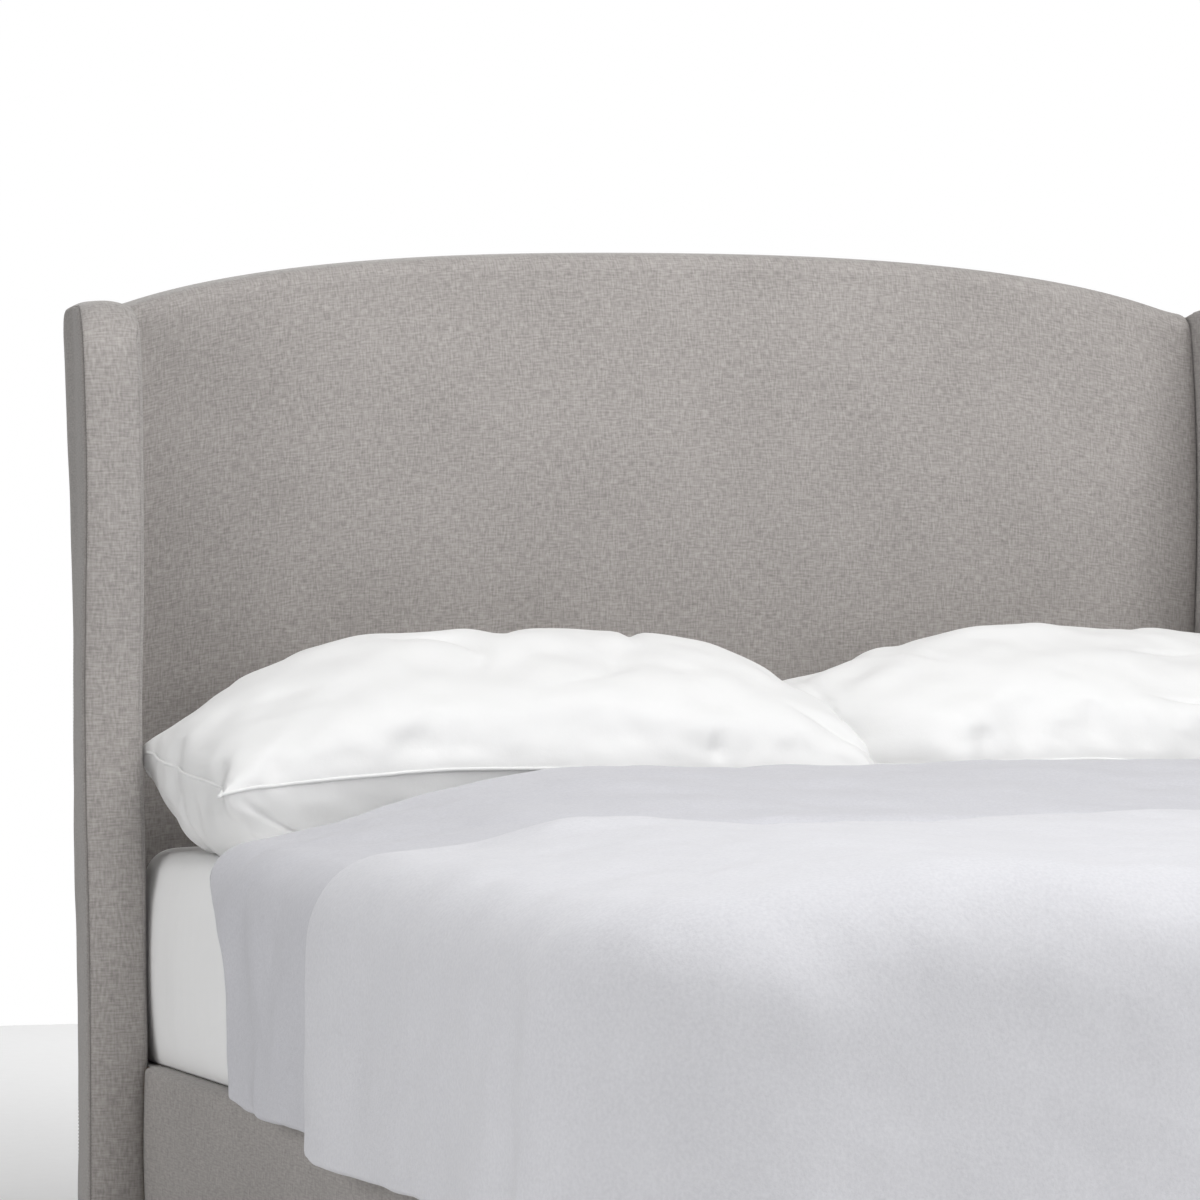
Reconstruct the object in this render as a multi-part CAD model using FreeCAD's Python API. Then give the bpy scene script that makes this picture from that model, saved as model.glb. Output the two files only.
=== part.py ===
import FreeCAD, Part
import os

# An upholstered sleigh-profile bed with a winged, arched headboard, made up with
# its mattress, fitted sheet, two pillows, a duvet and a quilt.
# Millimetres. +Z is up, +X is the right-hand side, the headboard is at +Y.
# The origin is on the floor, at the bottom centre of the whole bed.

V = FreeCAD.Vector

# ---------------------------------------------------------------- driving sizes
MATTRESS_W = 1500.0        # mattress width
MATTRESS_L = 2000.0        # mattress length
MATTRESS_T = 268.0         # mattress thickness
MATTRESS_CORNER_R = 60.0   # upright corners of the mattress
MATTRESS_EDGE_R = 35.0     # top border of the mattress
PLATFORM_Z = 290.0         # top of the slats, where the mattress lies
LEG_H = 100.0              # legs, and the underside of every frame member
HEADBOARD_H = 1330.0       # floor to the crown of the arch
ARCH_RISE = 78.0           # crown of the arch above its two level ends
WING_H = 1262.0            # floor to the top of a wing

# Margins for cutting, outside every finished face
OVERCUT = 5.0
WIDE = 200.0               # a cutting block past the widest piece
DEEP = 600.0               # a cutting block in front of and behind the face

# Clearances
REST_GAP = 0.5             # between loose bedding and what it lies on
WING_CLEARANCE = 1.0       # side rail to the inner face of a wing
HEADBOARD_CLEARANCE = 0.5  # headboard edge to the inner face of a wing
MATTRESS_HEAD_GAP = 6.0    # mattress to the headboard's cover
BEDDING_CLEARANCE = 3.0    # bedding drops to the rails' covers
PILLOW_GAP = 4.0           # between the pillows, and pillow to duvet
PILLOW_BACK_GAP = 20.0     # pillow to the headboard's face

# Upholstery and timber layers
COVER_T = 2.0
PAD_T = 8.0                # thin wadding on rails and wings
FOAM_T = 38.0              # foam on the face of the headboard
TOP_PAD_T = 10.0           # foam over the top of the headboard frame
BOARD_T = 4.0
FRAME_D = 44.0             # depth of the headboard's timbers
SHEET_T = 1.5

# The sleigh curve: heights and how far the face stands behind its waist there
SWEEP_START_Z = PLATFORM_Z + 20.0
WAIST_Z = 740.0
SWELL_Z = 985.0
SWEEP_FOOT = -22.0
SWEEP_WAIST = 0.0
SWEEP_SWELL = -9.0
SWEEP_CURL = 32.0
CURL_SLOPE = 0.24
SWEEP_OVERRUN = 20.0       # straight run above the tallest piece, for trimming

# The arch: shares of the half width, and of the rise fallen there
ARCH_SHARES = ((0.0, 0.0), (0.46, 0.125), (0.74, 0.43), (0.925, 0.84), (1.0, 1.0))

# Headboard timbers
POST_W = 60.0
TOP_RAIL_H = 110.0
MID_RAIL_Z = 640.0
MID_RAIL_H = 70.0
BOTTOM_RAIL_H = 120.0

# Wings
WING_REACH = 175.0         # how far a wing stands in front of the face
WING_FRONT_T = 72.0
WING_BACK_T = 22.0
WING_FLARE = 7.0           # outward lean of the inner face, face to front edge
WING_CORE_T = 18.0
WING_FRONT_R = 72.0        # rounded top corner at the front
WING_BACK_R = 46.0         # rounded top corner at the back
WING_FRONT_PAD = 14.0      # wadding in front of and above the core
PIPING_W = 5.0
PIPING_PROUD = 2.0

# Rails, slats and their supports
RAIL_T = 27.0
RAIL_UNDERLAP = 10.0       # how far a rail reaches under the mattress
RAIL_TOP_DROP = COVER_T    # the rail's cover lies over its top edge
LEDGER = 30.0
SLAT_COUNT = 11
SLAT_W = 110.0
SLAT_T = 18.0
SLAT_END_GAP = 2.0
SLAT_MARGIN = 24.0         # foot end of the platform to the first slat
CENTRE_RAIL_W = 45.0
CENTRE_RAIL_H = 60.0
HANGER_T = 3.0
HANGER_L = 40.0
CENTRE_LEG_D = 40.0
CENTRE_LEG_SHARES = (0.32, 0.68)

# Legs and fasteners
LEG_TOP_D = 44.0
LEG_FOOT_D = 32.0
BRACKET_T = 4.0
BRACKET_H = 90.0
BRACKET_L = 100.0
BRACKET_Z = PLATFORM_Z - 155.0
BRACKET_BOLT_HEIGHTS = (0.25, 0.75)    # shares of the bracket's height
BRACKET_BOLT_ALONG = 0.65              # share of its long leg
BOLT_D = 8.0
BOLT_HEAD_D = 14.0
BOLT_HEAD_T = 5.0
BRACKET_BOLT_L = 20.0      # thread inside the timber
WING_BOLT_L = 40.0
WING_BOLT_SPACING = 340.0
WING_BOLT_COUNT = 3
LEG_BOLT_UP = 45.0
LEG_BOLT_DOWN = 30.0
SCREW_D = 5.0
SCREW_HEAD_D = 9.0
SCREW_HEAD_T = 3.0
SCREW_L = 38.0

# Bedding
PILLOW_H = 290.0           # pillow above the mattress, leaning on the headboard
PILLOW_FRONT_H = 62.0      # pillow above the mattress at its front edge
PILLOW_D = 470.0           # headboard face to the front edge of a pillow
PILLOW_SHOULDER = 120.0    # depth of the pillow's crown
PILLOW_OVERLAP = 140.0     # how far each pillow crosses the middle of the bed
PILLOW_SIDE_GAP = 4.0      # pillow to the inner face of a wing
PILLOW_END_DROP = 150.0    # how far a pillow's outer end falls below its crown
PILLOW_END_L = 210.0       # length of that fall
DUVET_SIDE_T = 38.0
DUVET_LOFT = 108.0         # height of the bare band above the mattress
DUVET_PRESSED = 42.0       # height under the quilt
DUVET_HEM_Z = 285.0
DUVET_EDGE_R = 34.0
QUILT_SIDE_T = 29.0
QUILT_LOFT = 46.0
QUILT_START = 1075.0       # headboard face to the head edge of the quilt
QUILT_HEM_Z = 262.0
QUILT_EDGE_R = 26.0

# ------------------------------------------------------------- derived places
RAIL_IN_X = MATTRESS_W / 2 - RAIL_UNDERLAP
RAIL_OUT_X = RAIL_IN_X + RAIL_T
RAIL_COVER_X = RAIL_OUT_X + PAD_T + COVER_T
WING_IN_X = RAIL_OUT_X + WING_CLEARANCE
HEAD_HALF = WING_IN_X - HEADBOARD_CLEARANCE
FRAME_HALF = HEAD_HALF - COVER_T
POST_IN_X = FRAME_HALF - POST_W

FOAM_BACK = COVER_T + FOAM_T
BOARD_BACK = FOAM_BACK + BOARD_T
FRAME_BACK = BOARD_BACK + FRAME_D
HEAD_T = FRAME_BACK + COVER_T

DROP_IN_X = RAIL_COVER_X + BEDDING_CLEARANCE
DUVET_OUT_X = DROP_IN_X + DUVET_SIDE_T
QUILT_IN_X = DUVET_OUT_X + REST_GAP
QUILT_OUT_X = QUILT_IN_X + QUILT_SIDE_T

# Distances in front of the headboard's face at its waist
MATTRESS_HEAD = -SWEEP_FOOT + MATTRESS_HEAD_GAP
MATTRESS_FOOT = MATTRESS_HEAD + MATTRESS_L
FOOT_RAIL_IN = MATTRESS_FOOT - RAIL_UNDERLAP
FOOT_RAIL_OUT = FOOT_RAIL_IN + RAIL_T
FOOT_COVER = FOOT_RAIL_OUT + PAD_T + COVER_T
DROP_IN_FOOT = FOOT_COVER + BEDDING_CLEARANCE
DUVET_FOOT = DROP_IN_FOOT + DUVET_SIDE_T
QUILT_IN_FOOT = DUVET_FOOT + REST_GAP
QUILT_FOOT = QUILT_IN_FOOT + QUILT_SIDE_T

# The face's place makes the origin the middle of the bed's length. The back's
# highest point, at the crown, reaches furthest behind. A wing taller than the
# crown goes on up the curve's straight end.
WING_ABOVE_CROWN = max(0.0, WING_H - HEADBOARD_H)
SWEEP_TOP_Z = HEADBOARD_H + WING_ABOVE_CROWN + SWEEP_OVERRUN
BACK_REACH = HEAD_T + SWEEP_CURL + CURL_SLOPE * WING_ABOVE_CROWN
FACE_Y = (QUILT_FOOT - BACK_REACH) / 2

POST_FRONT_Y = FACE_Y + SWEEP_FOOT + BOARD_BACK
POST_MID_X = (POST_IN_X + FRAME_HALF) / 2
POST_MID_Y = POST_FRONT_Y + FRAME_D / 2
FOOT_IN_Y = FACE_Y - FOOT_RAIL_IN
FOOT_OUT_Y = FACE_Y - FOOT_RAIL_OUT
WING_FRONT_Y = FACE_Y + SWEEP_FOOT - WING_REACH

RAIL_TOP_Z = PLATFORM_Z - RAIL_TOP_DROP
SLAT_Z = PLATFORM_Z - SLAT_T
LEDGER_Z = SLAT_Z - LEDGER
CENTRE_RAIL_Z = SLAT_Z - CENTRE_RAIL_H
MATTRESS_Z = PLATFORM_Z + REST_GAP
BED_TOP_Z = MATTRESS_Z + MATTRESS_T + SHEET_T
BEDDING_Z = BED_TOP_Z + REST_GAP

SIDES = (("left", -1), ("right", 1))

nodes = {}


# ------------------------------------------------------------------- geometry
def box(x0, x1, y0, y1, z0, z1):
    """A box between two corners."""
    return Part.makeBox(x1 - x0, y1 - y0, z1 - z0, V(x0, y0, z0))


def prism(points, z0, z1):
    """An upright prism on a plan outline."""
    wire = Part.makePolygon([V(x, y, z0) for x, y in points + points[:1]])
    return Part.Face(wire).extrude(V(0, 0, z1 - z0))


def across(points, x0, x1):
    """A prism along X on a side outline of (y, z) points."""
    wire = Part.makePolygon([V(x0, y, z) for y, z in points + points[:1]])
    return Part.Face(wire).extrude(V(x1 - x0, 0, 0))


def on_side(shape, side):
    """A right-hand shape, or its mirror image on the left."""
    if side > 0:
        return shape
    return shape.mirror(V(0, 0, 0), V(1, 0, 0))


def lengthwise_edges(shape, axis, test):
    """Straight edges along an axis whose midpoint passes a test."""
    found = []
    for edge in shape.Edges:
        ends = [v.Point for v in edge.Vertexes]
        if len(ends) != 2:
            continue
        run = ends[1] - ends[0]
        if abs(abs(run.dot(axis)) - run.Length) > 1e-4 or run.Length < 1e-3:
            continue
        if test((ends[0] + ends[1]) * 0.5):
            found.append(edge)
    return found


def sweep_edges(x, behind):
    """The sleigh curve above the mattress platform, moved back from the face."""
    stations = (
        (SWEEP_START_Z, SWEEP_FOOT),
        (WAIST_Z, SWEEP_WAIST),
        (SWELL_Z, SWEEP_SWELL),
        (HEADBOARD_H, SWEEP_CURL),
    )
    points = [V(x, FACE_Y + behind + back, z) for z, back in stations]
    curve = Part.BSplineCurve()
    curve.interpolate(
        Points=points,
        InitialTangent=V(0, 0, 1),
        FinalTangent=V(0, CURL_SLOPE, 1),
    )
    tip = points[-1] + V(0, CURL_SLOPE, 1) * (SWEEP_TOP_Z - HEADBOARD_H)
    return [curve.toShape(), Part.makeLine(points[-1], tip)], points[0], tip


def swept_slab(front, back, x0, x1, z0=LEG_H, z1=SWEEP_TOP_Z):
    """A slab that follows the sleigh curve between two depths behind the face."""
    front_edges, front_start, front_tip = sweep_edges(x0, front)
    back_edges, back_start, back_tip = sweep_edges(x0, back)
    foot_z = LEG_H - OVERCUT
    low_front = V(x0, front_start.y, foot_z)
    low_back = V(x0, back_start.y, foot_z)
    outline = front_edges + back_edges + [
        Part.makeLine(low_front, front_start),
        Part.makeLine(front_tip, back_tip),
        Part.makeLine(back_start, low_back),
        Part.makeLine(low_back, low_front),
    ]
    wire = Part.Wire(Part.__sortEdges__(outline))
    slab = Part.Face(wire).extrude(V(x1 - x0, 0, 0))
    trim = box(x0 - OVERCUT, x1 + OVERCUT, FACE_Y - DEEP, FACE_Y + DEEP, z0, z1)
    return slab.common(trim)


def arch_prism(drop):
    """Everything under the headboard's arch, lowered by a drop."""
    y0 = FACE_Y - DEEP
    end_z = HEADBOARD_H - ARCH_RISE - drop
    edges = []
    for side in (-1, 1):
        points = [
            V(side * HEAD_HALF * across_share, y0, HEADBOARD_H - drop - ARCH_RISE * fall)
            for across_share, fall in ARCH_SHARES
        ]
        curve = Part.BSplineCurve()
        level = V(side, 0, 0)
        curve.interpolate(Points=points, InitialTangent=level, FinalTangent=level)
        edges.append(curve.toShape())
    outer = HEAD_HALF + WIDE
    corners = [
        V(HEAD_HALF, y0, end_z),
        V(outer, y0, end_z),
        V(outer, y0, 0),
        V(-outer, y0, 0),
        V(-outer, y0, end_z),
        V(-HEAD_HALF, y0, end_z),
    ]
    edges += [Part.makeLine(a, b) for a, b in zip(corners, corners[1:])]
    wire = Part.Wire(Part.__sortEdges__(edges))
    return Part.Face(wire).extrude(V(0, 2 * DEEP, 0))


def headboard_layer(front, back, half, drop, z0=LEG_H):
    """A swept layer of the headboard, cut to the arch."""
    return swept_slab(front, back, -half, half, z0).common(arch_prism(drop))


def bolt(place, direction, length):
    """A bolt with its head at place, its shank running the given way."""
    head = Part.makeCylinder(BOLT_HEAD_D / 2, BOLT_HEAD_T, place, direction * -1)
    shank = Part.makeCylinder(BOLT_D / 2, length, place, direction)
    return head.fuse(shank).removeSplitter()


def screw(place):
    """A countersunk slat screw driven down from the slat's top."""
    head_r, shank_r = SCREW_HEAD_D / 2, SCREW_D / 2
    down = V(0, 0, -1)
    head = Part.makeCone(head_r, shank_r, SCREW_HEAD_T, place, down)
    shank = Part.makeCylinder(shank_r, SCREW_L, place, down)
    return head.fuse(shank).removeSplitter()


def drilled(shape, fasteners):
    """A shape with the fasteners' own space cut away."""
    near = [f for f in fasteners if shape.BoundBox.intersect(f.BoundBox)]
    for fastener in near:
        shape = shape.cut(fastener)
    return shape


def keep(name, shape):
    """Store a node's shape, as one solid or as a group of solids."""
    if len(shape.Solids) == 1:
        shape = shape.Solids[0]
    if not shape.isValid() or not shape.Solids:
        raise ValueError(name + " is not a valid solid")
    nodes[name] = shape


# ------------------------------------------------------------------ fasteners
def bracket_bolts():
    """Two bolts through each leg of the four corner brackets."""
    bolts = []
    heights = [BRACKET_Z + BRACKET_H * share for share in BRACKET_BOLT_HEIGHTS]
    reach = RAIL_IN_X - BRACKET_T - POST_IN_X
    for side in (-1, 1):
        for corner_y, inward in ((POST_FRONT_Y, -1), (FOOT_IN_Y, 1)):
            for z in heights:
                rail_y = corner_y + inward * BRACKET_L * BRACKET_BOLT_ALONG
                rail_place = V(side * (RAIL_IN_X - BRACKET_T), rail_y, z)
                bolts.append(bolt(rail_place, V(side, 0, 0), BRACKET_T + BRACKET_BOLT_L))
                end_x = side * (POST_IN_X + reach / 2)
                end_place = V(end_x, corner_y + inward * BRACKET_T, z)
                bolts.append(bolt(end_place, V(0, -inward, 0), BRACKET_T + BRACKET_BOLT_L))
    return bolts


def wing_bolts():
    """Bolts from each wing's core into the headboard's post."""
    bolts = []
    for side in (-1, 1):
        for index in range(WING_BOLT_COUNT):
            z = LEG_H + BOTTOM_RAIL_H + index * WING_BOLT_SPACING
            y = FACE_Y + BOARD_BACK + FRAME_D / 2
            if z < SWEEP_START_Z:
                y += SWEEP_FOOT
            place = V(side * (WING_IN_X + WING_CORE_T), y, z)
            bolts.append(bolt(place, V(-side, 0, 0), WING_CORE_T + WING_BOLT_L))
    return bolts


def leg_places():
    """Centre of each corner leg, by name."""
    foot_x = (RAIL_IN_X + RAIL_OUT_X) / 2 - RAIL_T / 2
    foot_y = (FOOT_IN_Y + FOOT_OUT_Y) / 2
    return {
        "leg_head_left": V(-POST_MID_X, POST_MID_Y, 0),
        "leg_head_right": V(POST_MID_X, POST_MID_Y, 0),
        "leg_foot_left": V(-foot_x, foot_y, 0),
        "leg_foot_right": V(foot_x, foot_y, 0),
    }


def leg_bolts():
    """One hanger bolt up from each corner leg into the timber above."""
    length = LEG_BOLT_UP + LEG_BOLT_DOWN
    start = V(0, 0, LEG_H - LEG_BOLT_DOWN)
    return [Part.makeCylinder(BOLT_D / 2, length, p + start) for p in leg_places().values()]


def slat_rows():
    """Y of the foot-side edge of each slat."""
    first = FACE_Y - MATTRESS_FOOT + SLAT_MARGIN
    last = FACE_Y - MATTRESS_HEAD - SLAT_W
    step = (last - first) / (SLAT_COUNT - 1)
    return [first + step * index for index in range(SLAT_COUNT)]


def slat_screws():
    """A screw through each end and the middle of every slat."""
    ledger_x = RAIL_IN_X - LEDGER / 2
    return [
        screw(V(x, y + SLAT_W / 2, PLATFORM_Z))
        for y in slat_rows()
        for x in (-ledger_x, 0, ledger_x)
    ]


# ------------------------------------------------------------------ headboard
def build_headboard(bolts):
    """Timbers, face board, foam and covers of the headboard."""
    frame_drop = COVER_T + TOP_PAD_T
    post = swept_slab(BOARD_BACK, FRAME_BACK, POST_IN_X, FRAME_HALF)
    post = post.common(arch_prism(frame_drop))
    for name, side in SIDES:
        keep("headboard_post_" + name, drilled(on_side(post, side), bolts))

    end_z = HEADBOARD_H - ARCH_RISE - frame_drop
    rails = (
        ("headboard_top_rail", end_z - TOP_RAIL_H, HEADBOARD_H),
        ("headboard_mid_rail", MID_RAIL_Z, MID_RAIL_Z + MID_RAIL_H),
        ("headboard_bottom_rail", PLATFORM_Z - BOTTOM_RAIL_H, PLATFORM_Z),
    )
    for name, z0, z1 in rails:
        rail = swept_slab(BOARD_BACK, FRAME_BACK, -POST_IN_X, POST_IN_X, z0, z1)
        keep(name, rail.common(arch_prism(frame_drop)))

    board = headboard_layer(FOAM_BACK, BOARD_BACK, FRAME_HALF, frame_drop, SWEEP_START_Z)
    keep("headboard_front_board", board)

    foam = headboard_layer(COVER_T, FRAME_BACK, FRAME_HALF, COVER_T, SWEEP_START_Z)
    frame_space = swept_slab(FOAM_BACK, FRAME_BACK + OVERCUT, -HEAD_HALF, HEAD_HALF)
    keep("headboard_foam", foam.cut(frame_space.common(arch_prism(frame_drop))))

    cover = headboard_layer(0, HEAD_T, HEAD_HALF, 0, SWEEP_START_Z)
    wide = HEAD_HALF + OVERCUT
    inside = swept_slab(COVER_T, HEAD_T + OVERCUT, -wide, wide)
    keep("headboard_front_cover", cover.cut(inside.common(arch_prism(COVER_T))))
    keep("headboard_back_cover", headboard_layer(FRAME_BACK, HEAD_T, HEAD_HALF, COVER_T))


# ---------------------------------------------------------------------- wings
def wing_outline(inset):
    """The wing's side outline, inset all round, wide enough to trim in plan."""
    top_z = WING_H - inset
    x0, x1 = WING_IN_X - WIDE, WING_IN_X + WIDE
    slab = swept_slab(inset - WING_REACH, HEAD_T - inset, x0, x1, LEG_H, top_z)
    for radius, is_front in ((WING_FRONT_R, True), (WING_BACK_R, False)):
        def at_corner(point, front=is_front):
            ahead = point.y < FACE_Y - WING_REACH / 2
            return abs(point.z - top_z) < 0.01 and ahead == front
        corner = lengthwise_edges(slab, V(1, 0, 0), at_corner)
        slab = slab.makeFillet(radius - inset, corner)
    return slab


def wing_plan():
    """Plan corners of a right-hand wing: inner line, then outer line."""
    past = 2 * SWEEP_OVERRUN
    back_y = FACE_Y + HEAD_T + SWEEP_CURL + SWEEP_OVERRUN
    front_y = FACE_Y - WING_REACH - past
    lean = WING_FLARE / WING_REACH
    front_x = WING_IN_X + WING_FLARE + lean * past
    outer_back = WING_IN_X + WING_BACK_T
    outer_front = WING_IN_X + WING_FLARE + WING_FRONT_T
    slope = (outer_front - outer_back) / (WING_REACH + HEAD_T)
    inner = [(WING_IN_X, back_y), (WING_IN_X, FACE_Y), (front_x, front_y)]
    outer = [
        (outer_front + slope * past, front_y),
        (outer_back - slope * (back_y - FACE_Y - HEAD_T), back_y),
    ]
    return inner, outer


def build_wings(bolts):
    """Core, foam, covers, border band and piping of both wings."""
    inner, outer = wing_plan()
    z0, z1 = LEG_H - OVERCUT, WING_H + OVERCUT

    def shifted(line, dx):
        return [(x + dx, y) for x, y in line]

    def between(inner_dx, outer_dx):
        return prism(shifted(inner, inner_dx) + shifted(outer, outer_dx), z0, z1)

    def strip(line, dx0, dx1):
        return prism(shifted(line, dx0) + shifted(line, dx1)[::-1], z0, z1)

    skin = wing_outline(0)
    inside = wing_outline(COVER_T)
    inner_cover = skin.common(strip(inner, 0, COVER_T))
    in_front = box(0, WING_IN_X + WIDE, FACE_Y - DEEP, FACE_Y + SWEEP_FOOT, z0, z1)
    inner_cover = inner_cover.common(in_front)
    outer_cover = skin.common(strip(outer, -COVER_T, 0))
    shell = skin.cut(inside)
    piping_zone = strip(outer, -COVER_T - PIPING_W, -COVER_T)
    band = shell.common(between(0, -COVER_T)).cut(inner_cover).cut(piping_zone)
    welt = wing_outline(-PIPING_PROUD).cut(inside)
    piping = welt.common(piping_zone)

    core_plan = [
        (WING_IN_X, FACE_Y + HEAD_T + SWEEP_CURL),
        (WING_IN_X, FACE_Y + COVER_T),
        (WING_IN_X + COVER_T + PAD_T, FACE_Y + SWEEP_FOOT),
        (WING_IN_X + COVER_T + PAD_T + WING_FLARE, FACE_Y - WING_REACH),
        (WING_IN_X + COVER_T + PAD_T + WING_FLARE + WING_CORE_T, FACE_Y - WING_REACH),
        (WING_IN_X + COVER_T + PAD_T + WING_CORE_T, FACE_Y + SWEEP_FOOT),
        (WING_IN_X + WING_CORE_T, FACE_Y + COVER_T),
        (WING_IN_X + WING_CORE_T, FACE_Y + HEAD_T + SWEEP_CURL),
    ]
    core_space = between(0, -COVER_T)
    core = wing_outline(WING_FRONT_PAD).common(prism(core_plan, z0, z1))
    core = core.common(core_space)
    foam = inside.common(core_space).cut(inner_cover).cut(core)

    layers = (
        ("wing_core_", core),
        ("wing_foam_", foam),
        ("wing_inner_cover_", inner_cover),
        ("wing_outer_cover_", outer_cover),
        ("wing_border_band_", band),
        ("wing_piping_", piping),
    )
    for name, side in SIDES:
        for prefix, layer in layers:
            keep(prefix + name, drilled(on_side(layer, side), bolts))


# ------------------------------------------------------------- rails and base
def build_side_rails(bolts):
    """Rail board, slat ledger, wadding and cover on each side."""
    ledgers = []
    for name, side in SIDES:
        board = box(RAIL_IN_X, RAIL_OUT_X, FOOT_IN_Y, POST_FRONT_Y, LEG_H, RAIL_TOP_Z)
        keep("side_rail_" + name, drilled(on_side(board, side), bolts))
        ledger = box(
            RAIL_IN_X - LEDGER, RAIL_IN_X, FOOT_IN_Y, POST_FRONT_Y, LEDGER_Z, SLAT_Z
        )
        ledgers.append(drilled(on_side(ledger, side), bolts))
        pad_x = RAIL_OUT_X + PAD_T
        pad = box(RAIL_OUT_X, pad_x, FOOT_OUT_Y, WING_FRONT_Y, LEG_H, RAIL_TOP_Z)
        keep("rail_padding_" + name, on_side(pad, side))
        face = box(pad_x, RAIL_COVER_X, FOOT_OUT_Y, WING_FRONT_Y, LEG_H, PLATFORM_Z)
        top = box(RAIL_IN_X, pad_x, FOOT_OUT_Y, WING_FRONT_Y, RAIL_TOP_Z, PLATFORM_Z)
        keep("rail_cover_" + name, on_side(face.fuse(top).removeSplitter(), side))
    keep("slat_ledgers", Part.makeCompound(ledgers))


def build_foot_rail(bolts):
    """Board, wadding and cover of the low foot rail."""
    board = box(-RAIL_OUT_X, RAIL_OUT_X, FOOT_OUT_Y, FOOT_IN_Y, LEG_H, RAIL_TOP_Z)
    keep("foot_rail", drilled(board, bolts))
    pad_y = FOOT_OUT_Y - PAD_T
    cover_y = pad_y - COVER_T
    pad_half = RAIL_OUT_X + PAD_T
    pad = box(-pad_half, pad_half, pad_y, FOOT_OUT_Y, LEG_H, RAIL_TOP_Z)
    keep("foot_rail_padding", pad)
    face = box(-RAIL_COVER_X, RAIL_COVER_X, cover_y, pad_y, LEG_H, PLATFORM_Z)
    top = box(-RAIL_IN_X, RAIL_IN_X, pad_y, FOOT_IN_Y, RAIL_TOP_Z, PLATFORM_Z)
    ends = [
        on_side(box(pad_half, RAIL_COVER_X, pad_y, FOOT_OUT_Y, LEG_H, PLATFORM_Z), side)
        for side in (-1, 1)
    ]
    corners = [
        on_side(box(RAIL_IN_X, pad_half, pad_y, FOOT_OUT_Y, RAIL_TOP_Z, PLATFORM_Z), side)
        for side in (-1, 1)
    ]
    cover = face.multiFuse([top] + ends + corners).removeSplitter()
    keep("foot_rail_cover", cover)


def build_base(bolts, screws):
    """Slats, centre rail and its hangers and legs, corner legs and brackets."""
    for index, y in enumerate(slat_rows()):
        end_x = RAIL_IN_X - SLAT_END_GAP
        slat = box(-end_x, end_x, y, y + SLAT_W, SLAT_Z, PLATFORM_Z)
        keep("slat_%02d" % (index + 1), drilled(slat, screws))

    half = CENTRE_RAIL_W / 2
    rail_y0, rail_y1 = FOOT_IN_Y + HANGER_T, POST_FRONT_Y - HANGER_T
    rail = box(-half, half, rail_y0, rail_y1, CENTRE_RAIL_Z, SLAT_Z)
    keep("centre_rail", drilled(rail, screws))
    hangers = []
    for wall_y, inward in ((FOOT_IN_Y, 1), (POST_FRONT_Y, -1)):
        y0, y1 = sorted((wall_y, wall_y + inward * HANGER_L))
        outer = box(-half - HANGER_T, half + HANGER_T, y0, y1, CENTRE_RAIL_Z - HANGER_T, SLAT_Z)
        hangers.append(outer.cut(rail))
    keep("centre_hangers", Part.makeCompound(hangers))

    run = rail_y1 - rail_y0
    legs = [
        Part.makeCylinder(CENTRE_LEG_D / 2, CENTRE_RAIL_Z, V(0, rail_y0 + run * share, 0))
        for share in CENTRE_LEG_SHARES
    ]
    keep("centre_legs", Part.makeCompound(legs))

    for name, place in leg_places().items():
        leg = Part.makeCone(LEG_FOOT_D / 2, LEG_TOP_D / 2, LEG_H, place)
        keep(name, drilled(leg, bolts))

    brackets = []
    for side in (-1, 1):
        for corner_y, inward in ((POST_FRONT_Y, -1), (FOOT_IN_Y, 1)):
            y0, y1 = sorted((corner_y, corner_y + inward * BRACKET_L))
            z1 = BRACKET_Z + BRACKET_H
            long_leg = box(RAIL_IN_X - BRACKET_T, RAIL_IN_X, y0, y1, BRACKET_Z, z1)
            y0, y1 = sorted((corner_y, corner_y + inward * BRACKET_T))
            short_leg = box(POST_IN_X, RAIL_IN_X, y0, y1, BRACKET_Z, z1)
            angle = on_side(long_leg.fuse(short_leg).removeSplitter(), side)
            brackets.append(drilled(angle, bolts))
    keep("corner_brackets", Part.makeCompound(brackets))


# -------------------------------------------------------------------- bedding
def rounded_block(x, y0, y1, z0, z1, corner_r, edge_r):
    """A block centred on X with rounded upright corners and top edges."""
    block = box(-x, x, y0, y1, z0, z1)
    block = block.makeFillet(corner_r, lengthwise_edges(block, V(0, 0, 1), lambda p: True))
    top = [e for e in block.Edges if all(abs(v.Z - z1) < 0.01 for v in e.Vertexes)]
    return block.makeFillet(edge_r, top)


def build_mattress():
    """The mattress and the fitted sheet stretched over it."""
    head_y = FACE_Y - MATTRESS_HEAD
    foot_y = FACE_Y - MATTRESS_FOOT
    half = MATTRESS_W / 2
    top_z = MATTRESS_Z + MATTRESS_T
    mattress = rounded_block(
        half, foot_y, head_y, MATTRESS_Z, top_z, MATTRESS_CORNER_R, MATTRESS_EDGE_R
    )
    t = SHEET_T
    outside = rounded_block(
        half + t, foot_y - t, head_y + t, MATTRESS_Z, top_z + t,
        MATTRESS_CORNER_R + t, MATTRESS_EDGE_R + t,
    )
    keep("mattress", mattress)
    keep("fitted_sheet", outside.cut(mattress))


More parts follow.
